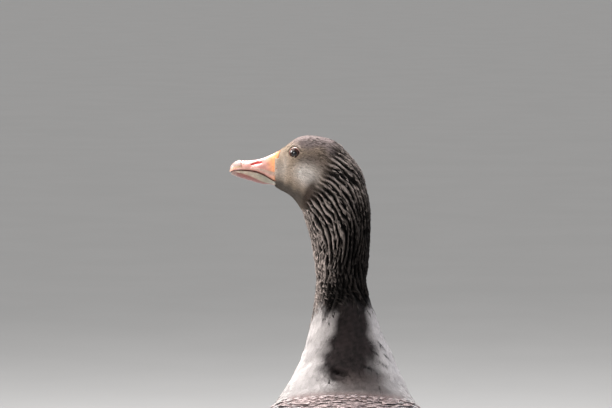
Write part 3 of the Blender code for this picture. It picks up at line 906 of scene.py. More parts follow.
def feather_finish(name, barbs=18.0, shaft=0.0, rough=0.72, edge=0.8, gloss=0.18):
    """A feather's web: its own tone, a paler rim, a shaft line and slanting barbs."""
    f = Finish(name, rough, Sheen_Weight=gloss * 0.25, Sheen_Roughness=0.45, Specular_IOR_Level=gloss)
    web = f.node("ShaderNodeUVMap", uv_map="web")
    parts = f.node("ShaderNodeSeparateXYZ")
    f.link(web.outputs[0], parts.inputs[0])
    across = f.maths("ABSOLUTE", f.maths("MULTIPLY_ADD", parts.outputs[0], 2.0, -1.0))
    up = parts.outputs[1]
    wander = f.noise(420, 2)
    side_edge = f.remap(f.maths("ADD", across, f.maths("MULTIPLY", wander, 0.25)), edge, edge + 0.2)
    tip_edge = f.remap(f.maths("ADD", up, f.maths("MULTIPLY", wander, 0.14)), edge + 0.07, edge + 0.2)
    rim = f.attribute("rim")
    share = f.maths("MULTIPLY", f.maths("MAXIMUM", side_edge, tip_edge), rim.outputs["Alpha"])
    tone = f.mix(share, f.attribute("tone").outputs["Color"], rim.outputs["Color"])
    slant = f.maths("MULTIPLY_ADD", across, -0.45, up)
    strand = f.maths("SINE", f.maths("MULTIPLY", slant, barbs * 6.283))
    grain = f.noise(1400, 3)
    mottle = f.maths("MULTIPLY_ADD", strand, 0.10, f.remap(grain, 0.25, 0.75, 0.78, 1.12))
    dull = f.node("ShaderNodeCombineColor")
    for socket in dull.inputs:
        f.link(mottle, socket)
    tone = f.mix(1.0, tone, dull.outputs[0], "MULTIPLY")
    if shaft:
        line = f.maths("MULTIPLY", f.remap(across, 0.07, 0.03), f.remap(up, 0.97, 0.7))
        tone = f.mix(f.maths("MULTIPLY", line, shaft), tone, (0.62, 0.58, 0.52))
    f.feed("Base Color", tone)
    f.feed("Roughness", f.remap(grain, 0.3, 0.7, rough - 0.1, rough + 0.12))
    f.bump(f.maths("MULTIPLY_ADD", grain, 0.6, f.maths("MULTIPLY", strand, 0.25)), 0.35 * MM)
    return f.material


# ---------------------------------------------------------------- feathers

class Cut:
    """The pattern that a kind of feather is cut to: a crowned web on top and a flat underside."""

    def __init__(self, columns, rows, widths, blunt=0.1):
        xs = np.linspace(-1, 1, columns)
        ys = np.interp(np.linspace(0, 1, rows), [0, 0.5, 1], [0, 0.62, 1])
        half = np.interp(ys, np.linspace(0, 1, len(widths)), widths)
        mid, last = columns // 2, rows - 1
        self.x = np.concatenate([np.tile(xs, rows), np.zeros(rows - 2)])
        self.y = np.concatenate([np.repeat(ys, columns), ys[1:-1]])
        self.half = np.concatenate([np.repeat(half, columns), half[1:-1]])
        self.under = np.arange(len(self.x)) >= rows * columns
        self.ahead = self.y - blunt * self.x**2 * self.y**3
        spine = lambda r: rows * columns + r - 1
        on = lambda r, c: r * columns + c
        faces = []
        for r in range(last):
            for c in range(columns - 1):
                faces.append([on(r, c), on(r + 1, c), on(r + 1, c + 1), on(r, c + 1)])
            low = [on(0, c) for c in range(mid + 1)] if r == 0 else [on(r, 0), spine(r)]
            high = (
                [on(last, c) for c in range(mid, -1, -1)]
                if r + 1 == last
                else [spine(r + 1), on(r + 1, 0)]
            )
            faces.append(low + high)
            low = [on(0, c) for c in range(mid, columns)] if r == 0 else [spine(r), on(r, columns - 1)]
            high = (
                [on(last, c) for c in range(columns - 1, mid - 1, -1)]
                if r + 1 == last
                else [on(r + 1, columns - 1), spine(r + 1)]
            )
            faces.append(low + high)
        self.corners = np.concatenate([np.array(face) for face in faces])
        self.starts = np.cumsum([0] + [len(face) for face in faces[:-1]])


TUFT = Cut(3, 4, (0.55, 1.0, 0.85, 0.12))
STRAND = Cut(3, 6, (0.4, 0.85, 1.0, 0.8, 0.12))
LOCK = Cut(3, 5, (0.5, 0.9, 1.0, 0.92, 0.5), 0.12)
CONTOUR = Cut(5, 7, (0.35, 0.72, 0.95, 1.0, 0.86, 0.34), 0.10)
BROAD = Cut(7, 8, (0.3, 0.62, 0.85, 0.97, 1.0, 0.93, 0.42), 0.10)
PRIMARY = Cut(7, 14, (0.5, 0.75, 0.9, 1.0, 0.98, 0.9, 0.78, 0.62, 0.42, 0.10), 0.02)
QUILL = Cut(7, 12, (0.35, 0.7, 0.9, 0.97, 1.0, 0.98, 0.9, 0.72, 0.32), 0.06)


def scatter(form, first, last, keep, spacing, seed):
    """Roots spread evenly between two places, none closer to another than the spacing there."""
    rng = np.random.default_rng(seed)
    rows, columns = 160, 180
    places = np.linspace(first, last, rows, endpoint=False) + (last - first) / rows / 2
    angles = (np.arange(columns) + 0.5) * 2 * pi / columns
    place, angle = [a.ravel() for a in np.meshgrid(places, angles, indexing="ij")]
    area = form.read(form.along, place, angle) * form.read(form.around, place, angle)
    area = area * (last - first) / rows * 2 * pi / columns
    weight = keep(place, angle) * area / spacing(place, angle) ** 2
    count = int(4.5 * weight.sum())
    chosen = rng.choice(len(weight), count, p=weight / weight.sum())
    place = place[chosen] + rng.uniform(-0.5, 0.5, count) * (last - first) / rows
    angle = angle[chosen] + rng.uniform(-0.5, 0.5, count) * 2 * pi / columns
    spots = form.read(form.points, place, angle)
    tree = KDTree(count)
    for i, spot in enumerate(spots):
        tree.insert(spot, i)
    tree.balance()
    gap = spacing(place, angle)
    gone = np.zeros(count, bool)
    kept = []
    for i in range(count):
        if gone[i]:
            continue
        kept.append(i)
        for _, j, _ in tree.find_range(spots[i], gap[i]):
            gone[j] = True
    return place[kept], angle[kept]


def in_rows(form, first, last, low, high, row_gap, side_gap):
    """Roots in staggered rows between two places and two angles in radians, with gaps in metres."""
    place, out = first, []
    turn = 0
    while place < last:
        spread = np.linspace(low, high, 60)
        around = np.mean(form.read(form.around, np.full(60, place), spread)) * (high - low)
        count = max(2, int(around / side_gap(place)))
        t = (np.arange(count) + (0.25 if turn % 2 else 0.75)) / count
        out.append(np.stack([np.full(count, place), low + (high - low) * t], axis=1))
        place += row_gap(place) / np.mean(form.read(form.along, np.full(60, place), spread))
        turn += 1
    rows = np.concatenate(out)
    return rows[:, 0], rows[:, 1]


def feather_mesh(name, cut, spots, flat):
    """One mesh for many feathers: a row of spots for each feather, joined up as the cut says."""
    count, points = spots.shape[:2]
    mesh = bpy.data.meshes.new(name)
    mesh.vertices.add(count * points)
    mesh.vertices.foreach_set("co", spots.astype(np.float32).ravel())
    corners = (np.arange(count)[:, None] * points + cut.corners).ravel()
    starts = (np.arange(count)[:, None] * len(cut.corners) + cut.starts).ravel()
    mesh.loops.add(len(corners))
    mesh.loops.foreach_set("vertex_index", corners.astype(np.int32))
    mesh.polygons.add(len(starts))
    mesh.polygons.foreach_set("loop_start", starts.astype(np.int32))
    mesh.update(calc_edges=True)
    mesh.shade_smooth()
    if flat:
        mesh.set_sharp_from_angle(angle=radians(60))
    return mesh


def unfold(mesh, cut, place, angle):
    """Lays the feathers out twice: each over its own web, and each on a small patch of its own."""
    count = len(place)
    web = np.tile(np.stack([cut.x * 0.5 + 0.5, cut.y], axis=1)[cut.corners], (count, 1))
    mesh.uv_layers.new(name="web").data.foreach_set("uv", web.astype(np.float32).ravel())
    span = [(v - v.min()) / max(np.ptp(v), 1e-6) for v in (np.mod(angle, 2 * pi), place)]
    centre = 0.004 + 0.992 * np.stack(span, axis=1)
    patch = np.stack([cut.x * 0.5, cut.y - 0.5], axis=1)[cut.corners] * 0.003
    mesh.uv_layers.new(name="OFBake").data.foreach_set(
        "uv", (centre[:, None] + patch[None]).astype(np.float32).ravel()
    )


def lay_feathers(name, form, cut, roots, long, half, tone, rim, rest=(-0.8, 0.0), crown=0.12, heading=0.0,
                 bend=0.0, roll=0.0, ragged=0.03, thick=0.5, shade=0.5, uneven=0.12, flat=False, seed=1,
                 vertex_tone=None):
    """Lays one feather at each root, following the form, and joins them into one piece.

    The rest is the height of root and tip over the form in millimetres. The crown is how far the middle of
    the web stands over its edges and the roll how far one edge stands over the other, both as a share of the
    half width. The shade is the tone at the root as a share of the tone at the tip: partly the darker down
    at a feather's root and partly painted shade under the feathers over it. One feather lies higher than
    another by up to the unevenness in millimetres. Flat feathers have hard edges, which look smooth side by
    side, and the others look softly rounded. A vertex_tone gives each point the colour of its place.
    """
    place, angle = roots
    count, points = len(place), len(cut.x)
    rng = np.random.default_rng(seed)
    spread = lambda value: np.broadcast_to(np.asarray(value, float), count)[:, None]
    long, half, heading, bend, roll = [spread(value) for value in (long, half, heading, bend, roll)]
    low, high = spread(rest[0]) * MM, spread(rest[1]) * MM
    nudge = rng.normal(0, ragged, (count, points)) * (cut.y > 0.7) * ~cut.under
    along, around = form.metric(place[:, None], angle[:, None])
    half = np.minimum(half, form.widest * around)
    a = (cut.ahead + nudge) * long
    b = cut.x * cut.half * half + bend * long * cut.y**2
    ahead = a * np.cos(heading) - b * np.sin(heading)
    aside = a * np.sin(heading) + b * np.cos(heading)
    mid_place = place[:, None] + 0.5 * long * np.cos(heading) / along
    mid_angle = angle[:, None] + 0.5 * long * np.sin(heading) / around
    along, around = form.metric(mid_place, mid_angle)
    at_place, at_angle = place[:, None] + ahead / along, angle[:, None] + aside / around
    height = low + (high - low) * cut.y**0.8
    rounding = np.sin(pi * np.clip(cut.y, 0, 1) ** 0.7) ** 0.5
    height = height + crown * half * (1 - cut.x**2) * rounding * ~cut.under
    height = height + roll * half * cut.x
    height = height - thick * MM * cut.under * np.sin(pi * cut.y)
    height = height + rng.uniform(-uneven, uneven, (count, 1)) * MM
    mesh = feather_mesh(name, cut, form.at(at_place, at_angle, height), flat)
    unfold(mesh, cut, place, angle)
    if vertex_tone is None:
        colours = np.repeat(np.broadcast_to(tone, (count, 3))[:, None], points, axis=1)
    else:
        colours = vertex_tone(at_place, at_angle) * (1 if tone is None else tone[:, None])
    # Painted shade towards each root, partly the darker down there.
    colours = colours * (shade + (1 - shade) * ease(cut.y, 0.1, 0.75))[None, :, None]
    colours = colours * rng.normal(1, 0.06, (count, 1, 1))
    paint(mesh, "tone", np.clip(colours, 0.002, 1).reshape(-1, 3))
    edge = np.repeat(np.broadcast_to(rim, (count, 4))[:, None], points, axis=1)
    paint(mesh, "rim", edge.reshape(-1, 4))
    return new_object(name, mesh)


def dress(piece, finish, slot, *nodes):
    piece.data.materials.append(finish)
    return settle(piece, slot, *nodes)


# ---------------------------------------------------------------- operators

class MakeForms(bpy.types.Operator):
    """Reads the bird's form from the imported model"""

    bl_idname = "goose.read_form"
    bl_label = "Read Form"

    def execute(self, context):
        make_forms()
        return {"FINISHED"}


def feather_line(up):
    """How far ahead the feathers of the face reach over the bill, in millimetres, at a height."""
    return np.interp(up, (700, 710, 724, 732, 738, 742), (86.5, 85.2, 84.4, 83.6, 82.0, 80.2))


def head_reading(spots):
    """How far ahead and how high points are on the head's own axes, in millimetres."""
    turn = radians(SECTIONS["eye"][2])
    flat = spots[..., :2] - NECK_AXIS
    return (flat[..., 0] * sin(turn) - flat[..., 1] * cos(turn)) / MM, spots[..., 2] / MM


class MakeSkin(bpy.types.Operator):
    """Makes the one skin under the coat"""

    bl_idname = "goose.skin"
    bl_label = "Skin"

    def execute(self, context):
        sizes = context.scene.goose_plumage
        form = Bird.winged
        rows, columns = 420, 160
        places = np.linspace(form.start, SKIN_END, rows)
        angles = np.arange(columns) * 2 * pi / columns
        place, angle = np.meshgrid(places, angles, indexing="ij")
        depth = sizes.face_depth + (sizes.neck_depth - sizes.face_depth) * ease(place, 4, 6)
        depth = depth + (sizes.body_depth - sizes.neck_depth) * ease(place, 11, 13.5)
        depth = depth - sizes.body_depth * 0.25 * ease(place, 19.2, 20.2)
        depth = depth - sizes.ridge_depth * 0.55 * ridge_reach(place, angle)
        ahead, up = head_reading(form.at(place, angle, 0 * depth))
        bare = ease(ahead - feather_line(up), -0.3, 0.6) * (place < 1.5)
        depth = depth * (1 - bare) + 0.2 * MM * bare
        spots = form.at(place, angle, -depth)
        hearts = spots.mean(axis=1, keepdims=True)
        spots = hearts + (spots - hearts) * (1 - 0.75 * ease(place, SKIN_END - 0.5, SKIN_END))[..., None]
        mesh = grid_mesh("skin", spots)
        flesh = hue("bill_base") * np.array((0.85, 0.68, 0.75))
        tone = blend(plumage_tone(place, angle) * 0.8, flesh, bare)
        paint(mesh, "tone", tone.reshape(-1, 3))
        skin = new_object("skin", mesh)
        for side in SIDES:
            self.join_leg(skin, Bird.legs[side])
        names = ["head", "neck_upper", "neck_lower", "trunk", "tail", *(f"thigh_{side}" for side in SIDES)]
        dress(skin, skin_finish(), "plumage", *names)
        return {"FINISHED"}

    def join_leg(self, skin, form):
        """Makes one closed surface of the skin and the skin of a leg."""
        place, angle = np.meshgrid(np.linspace(0, 1, 40), np.arange(36) * 2 * pi / 36, indexing="ij")
        mesh = grid_mesh("leg_skin", form.at(place, angle, -(2.8 - 1.6 * place) * MM))
        paint(mesh, "tone", np.tile(LEG_SKIN, (place.size, 1)))
        leg = new_object("leg_skin", mesh)
        union = skin.modifiers.new("union", "BOOLEAN")
        union.operation, union.solver, union.object = "UNION", "EXACT", leg
        joined = bpy.data.meshes.new_from_object(skin.evaluated_get(bpy.context.evaluated_depsgraph_get()))
        count = len(joined.vertices)
        spots, tones = np.zeros(count * 3, np.float32), np.zeros(count * 4, np.float32)
        joined.vertices.foreach_get("co", spots)
        joined.attributes["tone"].data.foreach_get("color", tones)
        tones = tones.reshape(-1, 4)
        # The union leaves some points low on the body a red that neither mesh has.
        stray = (spots.reshape(-1, 3)[:, 2] < 0.5) & (tones[:, 0] > 1.6 * tones[:, 1])
        tones[stray, :3] = LEG_SKIN
        joined.attributes["tone"].data.foreach_set("color", tones.ravel())
        skin.modifiers.clear()
        skin.data = joined
        bpy.data.objects.remove(leg)


def muzzle():
    """The root of the bill as a form, from in front of the feathers back over the face."""
    bpy.context.view_layer.update()
    look = bpy.context.evaluated_depsgraph_get()
    trees = [BVHTree.FromObject(bpy.data.objects[k], look) for k in ("upper_mandible", "lower_mandible")]
    head = node_tree("head")
    rows, columns = 47, 72
    points, bare = np.zeros((rows, columns, 3)), np.zeros((rows, columns))
    for r, ahead in enumerate(np.linspace(94, 71, rows)):
        heart = on_head(ahead, 0, 716)
        for c in range(columns):
            a = 2 * pi * c / columns
            way = Vector(on_head(ahead, -cos(a), 716 + sin(a)) - heart).normalized()
            far = Vector(heart) + way * RAY_REACH
            horn = min([tree.ray_cast(far, -way, RAY_REACH)[3] or 0.75 * RAY_REACH for tree in trees])
            flesh = head.ray_cast(far, -way, RAY_REACH)[3] or RAY_REACH
            points[r, c] = heart + np.array(way) * (RAY_REACH - min(horn, flesh))
            bare[r, c] = horn < flesh
    return Form(smooth(points, 0.8, 0.8), -94.0, -71.0), smooth(bare, 0.5, 0.5)


class MakeHeadFeathers(bpy.types.Operator):
    """Covers the head in small close feathers"""

    bl_idname = "goose.head_feathers"
    bl_label = "Head Feathers"

    def execute(self, context):
        form = Bird.body
        finish = feather_finish("head_feather", 5, rough=0.82, gloss=0.08)
        ring = ((0.4, 0.0), (1.8, 0.0), (3.0, -0.4), (1.2, -1.2))
        eyes = [on_head(EYE[0] + x, sign * EYE[1], EYE[2] + z) for sign in SIDES.values() for x, z in ring]

        def clear(place, angle):
            spots = form.read(form.points, place, angle)
            ahead, up = head_reading(spots)
            away = np.min([np.linalg.norm(spots - eye, axis=-1) for eye in eyes], axis=0)
            return (away > LID_MARGIN) * (ahead < feather_line(up))

        groups = (
            ("face_feathers", -0.1, 3.1, clear, 0.74, 1.0),
            ("hind_head_feathers", 3.1, 6.0, lambda p, a: 1 - ease(p, 5.2, 6.0), 1.0, 1.7),
        )
        for seed, (name, first, last, keep, fine, coarse) in enumerate(groups):
            grow = lambda p: (fine + (coarse - fine) * ease(p, first, last)) * MM
            roots = scatter(form, first, last, keep, lambda p, a: grow(p), 11 + seed)
            rng = np.random.default_rng(13 + seed)
            count = len(roots[0])
            big = grow(roots[0])
            streak = (1 - ease(off_spine(roots[1]), 50, 95)) * ease(roots[0], 2.0, 3.5)
            tone = rng.normal(1, 0.07, (count, 1)) * (1 - 0.5 * (rng.random(count) < 0.3 * streak))[:, None]
            piece = lay_feathers(name, form, TUFT, roots, big * 4.6, big * 0.62, tone, SMALL_RIM,
                                 rest=(-0.6, 0.15), crown=0.12, heading=rng.normal(0, 0.13, count),
                                 thick=0.12, shade=0.92, seed=15 + seed, vertex_tone=plumage_tone)
            dress(piece, finish, "plumage")
        return {"FINISHED"}


class MakeBillMargin(bpy.types.Operator):
    """Lays the small feathers that reach forward over the root of the bill"""

    bl_idname = "goose.bill_margin"
    bl_label = "Feathers at the Bill"

    def execute(self, context):
        form, horn = muzzle()

        def keep(place, angle):
            ahead, up = head_reading(form.read(form.points, place, angle))
            face = (form.read(horn, place, angle) < 0.93) & (ahead > 82.0) & (up < 731)
            return ((ahead < feather_line(up)) | face) & (ahead > 73.5)

        roots = scatter(form, -93, -73, keep, lambda p, a: 0.74 * MM + 0 * p, 18)
        rng = np.random.default_rng(19)
        count = len(roots[0])
        down = off_spine(roots[1])
        tone = blend(hue("face"), LORES, bell(down, 85, 34))
        # Under the bill they take the throat's dark colour, which is painted shade.
        tone = blend(tone, hue("throat") * 1.1, ease(down, 106, 134))
        tone = tone * rng.normal(0.97, 0.07, (count, 1))
        piece = lay_feathers("bill_root_feathers", form, TUFT, roots, 3.4 * MM, 0.5 * MM, tone, SMALL_RIM,
                             rest=(-0.5, 0.3), crown=0.12, heading=rng.normal(0, 0.13, count), thick=0.12,
                             shade=0.95, seed=20)
        dress(piece, feather_finish("bill_root_feather", 5, rough=0.82, gloss=0.08), "plumage")
        return {"FINISHED"}


class MakeNeckFeathers(bpy.types.Operator):
    """Lays the neck's ridged feathers and the smooth ones below them"""

    bl_idname = "goose.neck_feathers"
    bl_label = "Neck Feathers"

    def execute(self, context):
        form = Bird.body
        finish = feather_finish("neck_feather", 9, rough=0.8, gloss=0.045)
        rng = np.random.default_rng(21)
        ridges = (("neck_ridges_upper", 4.0, 7.0, 22), ("neck_ridges_lower", 7.0, 9.9, 23))
        for name, first, last, seed in ridges:
            keep = lambda p, a: ease(p, 4.4, 5.3) * (1 - ease(p, 9.4, 9.9))
            roots = scatter(form, first, last, keep, lambda p, a: 1.8 * MM + 0 * p, seed)
            count = len(roots[0])
            piece = lay_feathers(name, form, STRAND, roots, rng.uniform(9, 13, count) * MM,
                                 rng.uniform(0.65, 0.95, count) * MM, None, (0.5, 0.45, 0.42, 0.0),
                                 rest=(-1.3, 0.1), crown=0.3,
                                 heading=ridge_heading(*roots) + rng.normal(0, 0.07, count),
                                 bend=rng.normal(0, 0.05, count), thick=0.3, shade=0.75, seed=seed,
                                 vertex_tone=plumage_tone)
            dress(piece, finish, "neck_plumage")
        roots = crest_roots(4.5, 9.75, 4.4 * MM, 26)
        count = len(roots[0])
        # Down the back of the neck the locks are darker, partly plumage and partly painted shade.
        shade = ridge_shade(*roots)
        tone = hue("ridge") * (shade * np.clip(rng.normal(0.95, 0.28, count), 0.3, 1.4))[:, None]
        rim = np.column_stack([np.array([[0.72, 0.62, 0.58]]) * shade[:, None], np.full(count, 0.5)])
        piece = lay_feathers("neck_locks", form, STRAND, roots, rng.uniform(10, 15, count) * MM,
                             rng.uniform(0.7, 1.2, count) * MM, tone, rim, rest=(-1.6, 0.6), crown=0.35,
                             heading=ridge_heading(*roots) + rng.normal(0, 0.12, count),
                             bend=rng.normal(0, 0.07, count), thick=0.4, shade=0.1, seed=27)
        dress(piece, finish, "neck_plumage")
        keep = lambda p, a: ease(p, 9.2, 9.8) * (1 - ease(p - mantle_lag(a), 12.3, 12.7))
        roots = scatter(form, 9.2, 13.9, keep, lambda p, a: (2.4 + 1.7 * ease(p, 10, 12.8)) * MM, 24)
        count = len(roots[0])
        big = 1 + 0.7 * ease(roots[0], 10, 12.8)
        rim = np.column_stack([np.clip(plumage_tone(*roots) * 1.15, 0, 1), np.full(count, 0.3)])
        piece = lay_feathers("neck_root_feathers", form, LOCK, roots, rng.uniform(9, 13, count) * MM * big,
                             rng.uniform(1.7, 2.3, count) * MM * big, rng.normal(1, 0.06, (count, 1)), rim,
                             rest=(-0.3, 0.05), crown=0.0, heading=rng.normal(0, 0.08, count), thick=0.05,
                             shade=0.97, uneven=0.03, flat=True, seed=25, vertex_tone=plumage_tone)
        dress(piece, finish, "neck_plumage")
        return {"FINISHED"}


class MakeBodyFeathers(bpy.types.Operator):
    """Lays the feathers of breast, flanks, belly, mantle, rump and tail root"""

    bl_idname = "goose.body_feathers"
    bl_label = "Body Feathers"

    def execute(self, context):
        form = Bird.winged
        soft = feather_finish("body_feather", 14, rough=0.78, edge=0.70)
        fringed = feather_finish("mantle_feather", 22, shaft=0.15, rough=0.7, edge=0.78)
        fringe, white = hue("fringe"), hue("white")
        firm = {"crown": 0.08, "thick": 0.4, "shade": 0.66}
        limp = {"crown": 0.04, "thick": 0.22, "shade": 0.8, "flat": True}
        # Each group: name, finish, places from and to, angles from and to, gaps between rows and along them,
        # lengths from and to, half width as a share of length, rest of root and tip, fringe, its strength.
        groups = (
            ("mantle_feathers", fringed, 13.25, 15.6, 24, 156, (4.5, 11), (11, 17), (17, 36), 0.40,
             (-3.4, 0.5), fringe, 0.95),
            ("back_feathers", fringed, 15.55, 18.15, 50, 130, (12, 10), (16, 14), (40, 46), 0.34,
             (-3.2, 0.8), fringe, 0.7),
            ("breast_feathers", soft, 12.25, 16.1, -216, 36, (4.2, 8.5), (6.2, 12.5), (16, 32), 0.38,
             (-1.6, 0.15), PALE_FRINGE, 0.28),
            ("belly_feathers", soft, 16.0, 18.9, -204, 24, (10, 9), (13, 12), (36, 40), 0.34, (-2.2, 0.2),
             PALE_FRINGE, 0.25),
            ("flank_feathers_left", fringed, 14.6, 17.6, -34, 6, (15, 17), (16, 18), (46, 58), 0.27,
             (-2.6, 2.2), PALE_FRINGE, 0.9),
            ("flank_feathers_right", fringed, 14.6, 17.6, 174, 214, (15, 17), (16, 18), (46, 58), 0.27,
             (-2.6, 2.2), PALE_FRINGE, 0.9),
            ("rump_feathers", soft, 18.0, 19.1, 50, 130, (8, 8), (10, 9), (32, 32), 0.26, (-3.0, 0.4), white,
             0.3),
            ("tail_coverts_under", soft, 18.6, 20.4, -164, -16, (8, 8), (9, 9), (38, 46), 0.17, (-2.6, 0.2),
             white, 0.3),
        )
        for seed, (name, finish, *row) in enumerate(groups):
            first, last, low, high, row_gap, side_gap, long_range, slim, rest, edge, strength = row
            rng = np.random.default_rng(31 + seed)
            grow = lambda p, pair: (pair[0] + (pair[1] - pair[0]) * ease(p, first, last)) * MM
            place, angle = in_rows(form, first, last, radians(low), radians(high),
                                   lambda p: grow(p, row_gap), lambda p: grow(p, side_gap))
            open_air = under_wing(place, angle) < 0
            place, angle = place[open_air], angle[open_air]
            count = len(place)
            place = place + rng.normal(0, 0.03, count)
            angle = angle + rng.normal(0, 0.018, count)
            long = grow(place, long_range) * rng.uniform(0.94, 1.06, count)
            tone = plumage_tone(place, angle) * rng.normal(1, 0.05, (count, 1))
            rim = np.tile((*edge, strength), (count, 1))
            cut, build = (BROAD, firm) if finish is fringed else (CONTOUR, limp)
            piece = lay_feathers(name, form, cut, (place, angle), long,
                                 long * slim * rng.uniform(0.94, 1.06, count), tone, rim, rest=rest,
                                 heading=rng.normal(0, 0.05, count), seed=41 + seed, **build)
            dress(piece, finish, "plumage")
        return {"FINISHED"}


class MakeWings(bpy.types.Operator):
    """Lays the folded wings: coverts, shoulder feathers, long inner feathers and flight feathers"""

    bl_idname = "goose.wings"
    bl_label = "Wings"

    def execute(self, context):
        base, fringe, quill = [hue(name) for name in ("mantle", "fringe", "quill")]
        ash = hue("covert")
        coverts = feather_finish("covert", 22, shaft=0.3, rough=0.7, edge=0.80)
        flight = feather_finish("flight_feather", 60, shaft=0.2, rough=0.5, edge=0.9)
        # Each group: name, finish, cut, s from and to, t from and to, gaps along and across, lengths at its
        # front and rear, half width as a share of length, rest of root and tip, tone, strength of fringe.
        groups = (
            ("secondaries", flight, QUILL, 0.62, 0.86, -0.99, 0.1, 16, 10, (92, 100), 0.125, (-3.6, -1.2),
             quill * 1.8, 0.7),
            ("wing_coverts", coverts, BROAD, 0.42, 0.66, -0.98, 0.3, 22, 11, (54, 64), 0.16, (-3.4, 0.5),
             ash * 0.8, 0.95),
            ("tertials", coverts, QUILL, 0.50, 0.82, -0.15, 0.98, 30, 17, (96, 112), 0.15, (-3.2, 1.0),
             base * 0.9, 0.95),
            ("median_coverts", coverts, BROAD, 0.22, 0.42, -0.97, 0.6, 15, 12, (36, 46), 0.25, (-3.4, 0.6),
             ash * 0.85, 0.9),
            ("lesser_coverts", coverts, CONTOUR, -0.02, 0.22, -0.98, 0.98, 9, 9.5, (22, 30), 0.34,
             (-3.2, 0.6), ash, 0.6),
            ("scapulars", coverts, BROAD, 0.10, 0.60, 0.30, 1.2, 18, 17, (44, 78), 0.22, (-3.0, 1.8), base,
             1.0),
        )
        for side, sign in SIDES.items():
            for seed, group in enumerate(groups):
                name, finish, cut, s0, s1, t0, t1, gap, side_gap, longs, slim, rest, tone, edge = group
                s, t = self.rows(s0, s1, t0, t1, gap, side_gap)
                rng = np.random.default_rng(70 + seed)
                count = len(s)
                s, t = s + rng.normal(0, 0.004, count), t + rng.normal(0, 0.012, count)
                place, angle = wing_spot(s, t)
                onward, turned = wing_spot(s + 0.12, t)
                along, around = Bird.winged.metric((place + onward) / 2, (angle + turned) / 2)
                heading = np.arctan2((turned - angle) * around, (onward - place) * along)
                long = np.interp(s, (s0, s1), longs) * MM * rng.uniform(0.96, 1.04, count)
                piece = lay_feathers(
                    f"{name}_{side}", Bird.winged, cut, (place, angle if sign > 0 else pi - angle), long,
                    long * slim, np.clip(tone * rng.normal(1, 0.06, (count, 1)), 0.005, 1),
                    (*fringe, edge), rest=rest, crown=0.05,
                    heading=sign * (heading + rng.normal(0, 0.025, count)), roll=-0.10 * sign, shade=0.7,
                    ragged=0.012, seed=90 + seed,
                )
                dress(piece, finish, "wing_plumage", *([f"wing_{side}"] if name == "wing_coverts" else []))
            self.flight_feathers(side, sign, flight, quill)
        return {"FINISHED"}

    def rows(self, s0, s1, t0, t1, gap, side_gap):
        """Staggered rows on the left wing, with gaps in millimetres."""
        out = []
        s, turn = s0, 0
        reach = Bird.wing_edges[0][-1] - Bird.wing_edges[0][0]
        while s <= s1:
            place, edge = wing_spot(s, np.array([t0, t1]))
            along, around = Bird.winged.metric(np.array([place]), np.array([edge.mean()]))
            count = max(2, int(around[0] * (edge[1] - edge[0]) / (side_gap * MM)))
            share = (np.arange(count) + (0.3 if turn % 2 else 0.7)) / count
            out.append(np.stack([np.full(count, s), t0 + (t1 - t0) * share]))
            s += gap * MM / along[0] / reach
            turn += 1
        return np.concatenate(out, axis=1)

    def flight_feathers(self, side, sign, finish, quill):
        """The long tips of the folded wing, stacked with the innermost on top, with tertials over them."""
        name = f"primaries_{side}"
        sheet = Sheet(name, f"wing_{side}")
        low, high = [np.array(corner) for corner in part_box(name)]
        inner, outer = (low[0], high[0]) if sign > 0 else (high[0], low[0])
        across = lambda share: inner + (outer - inner) * share
        brown = hue("mantle")
        cover = feather_finish("long_tertial", 40, shaft=0.25, rough=0.66, edge=0.84)
        # Each layer: name, finish, cut, count, roots across from and to, how far back they are, tips across
        # from and to, how far back the first and last are, half width, rest of root and tip, tone, fringe.
        layers = (
            (f"flight_feathers_{side}", finish, PRIMARY, 10, 0.50, 1.22, -70, 0.22, 0.50, 62, 131, 12.0,
             (-9, 0.0), quill, (0.30, 0.28, 0.26, 0.5)),
            (f"long_tertials_{side}", cover, QUILL, 6, 0.50, 1.35, -95, 0.24, 0.80, 46, 8, 14.5, (-5.5, 2.4),
             brown * 0.8, (*hue("fringe"), 0.9)),
        )
        for layer, row in enumerate(layers):
            name_, finish_, cut, count, r0, r1, root, t0, t1, first, last, half, rest, tone, rim = row
            share = np.linspace(0, 1, count)
            roots = np.stack([across(r0 + (r1 - r0) * share), low[1] + (root - 12 * share) * MM], axis=1)
            back = low[1] + (first + (last - first) * share) * MM
            tips = np.stack([across(t0 + (t1 - t0) * share), back], axis=1)
            spots, long, heading = sheet.between(roots, tips)
            drop = (0.9 + 0.3 * layer) * share
            piece = lay_feathers(name_, sheet, cut, spots, long, half * MM, np.tile(tone, (count, 1)), rim,
                                 rest=(rest[0] - drop, rest[1] - drop), crown=0.05, heading=heading,
                                 bend=sign * 0.03, roll=-0.05 * sign, ragged=0.006, shade=0.9, thick=0.35,
                                 seed=77 + layer)
            dress(piece, finish_, "flight_feather", *([name] if layer == 0 else []))


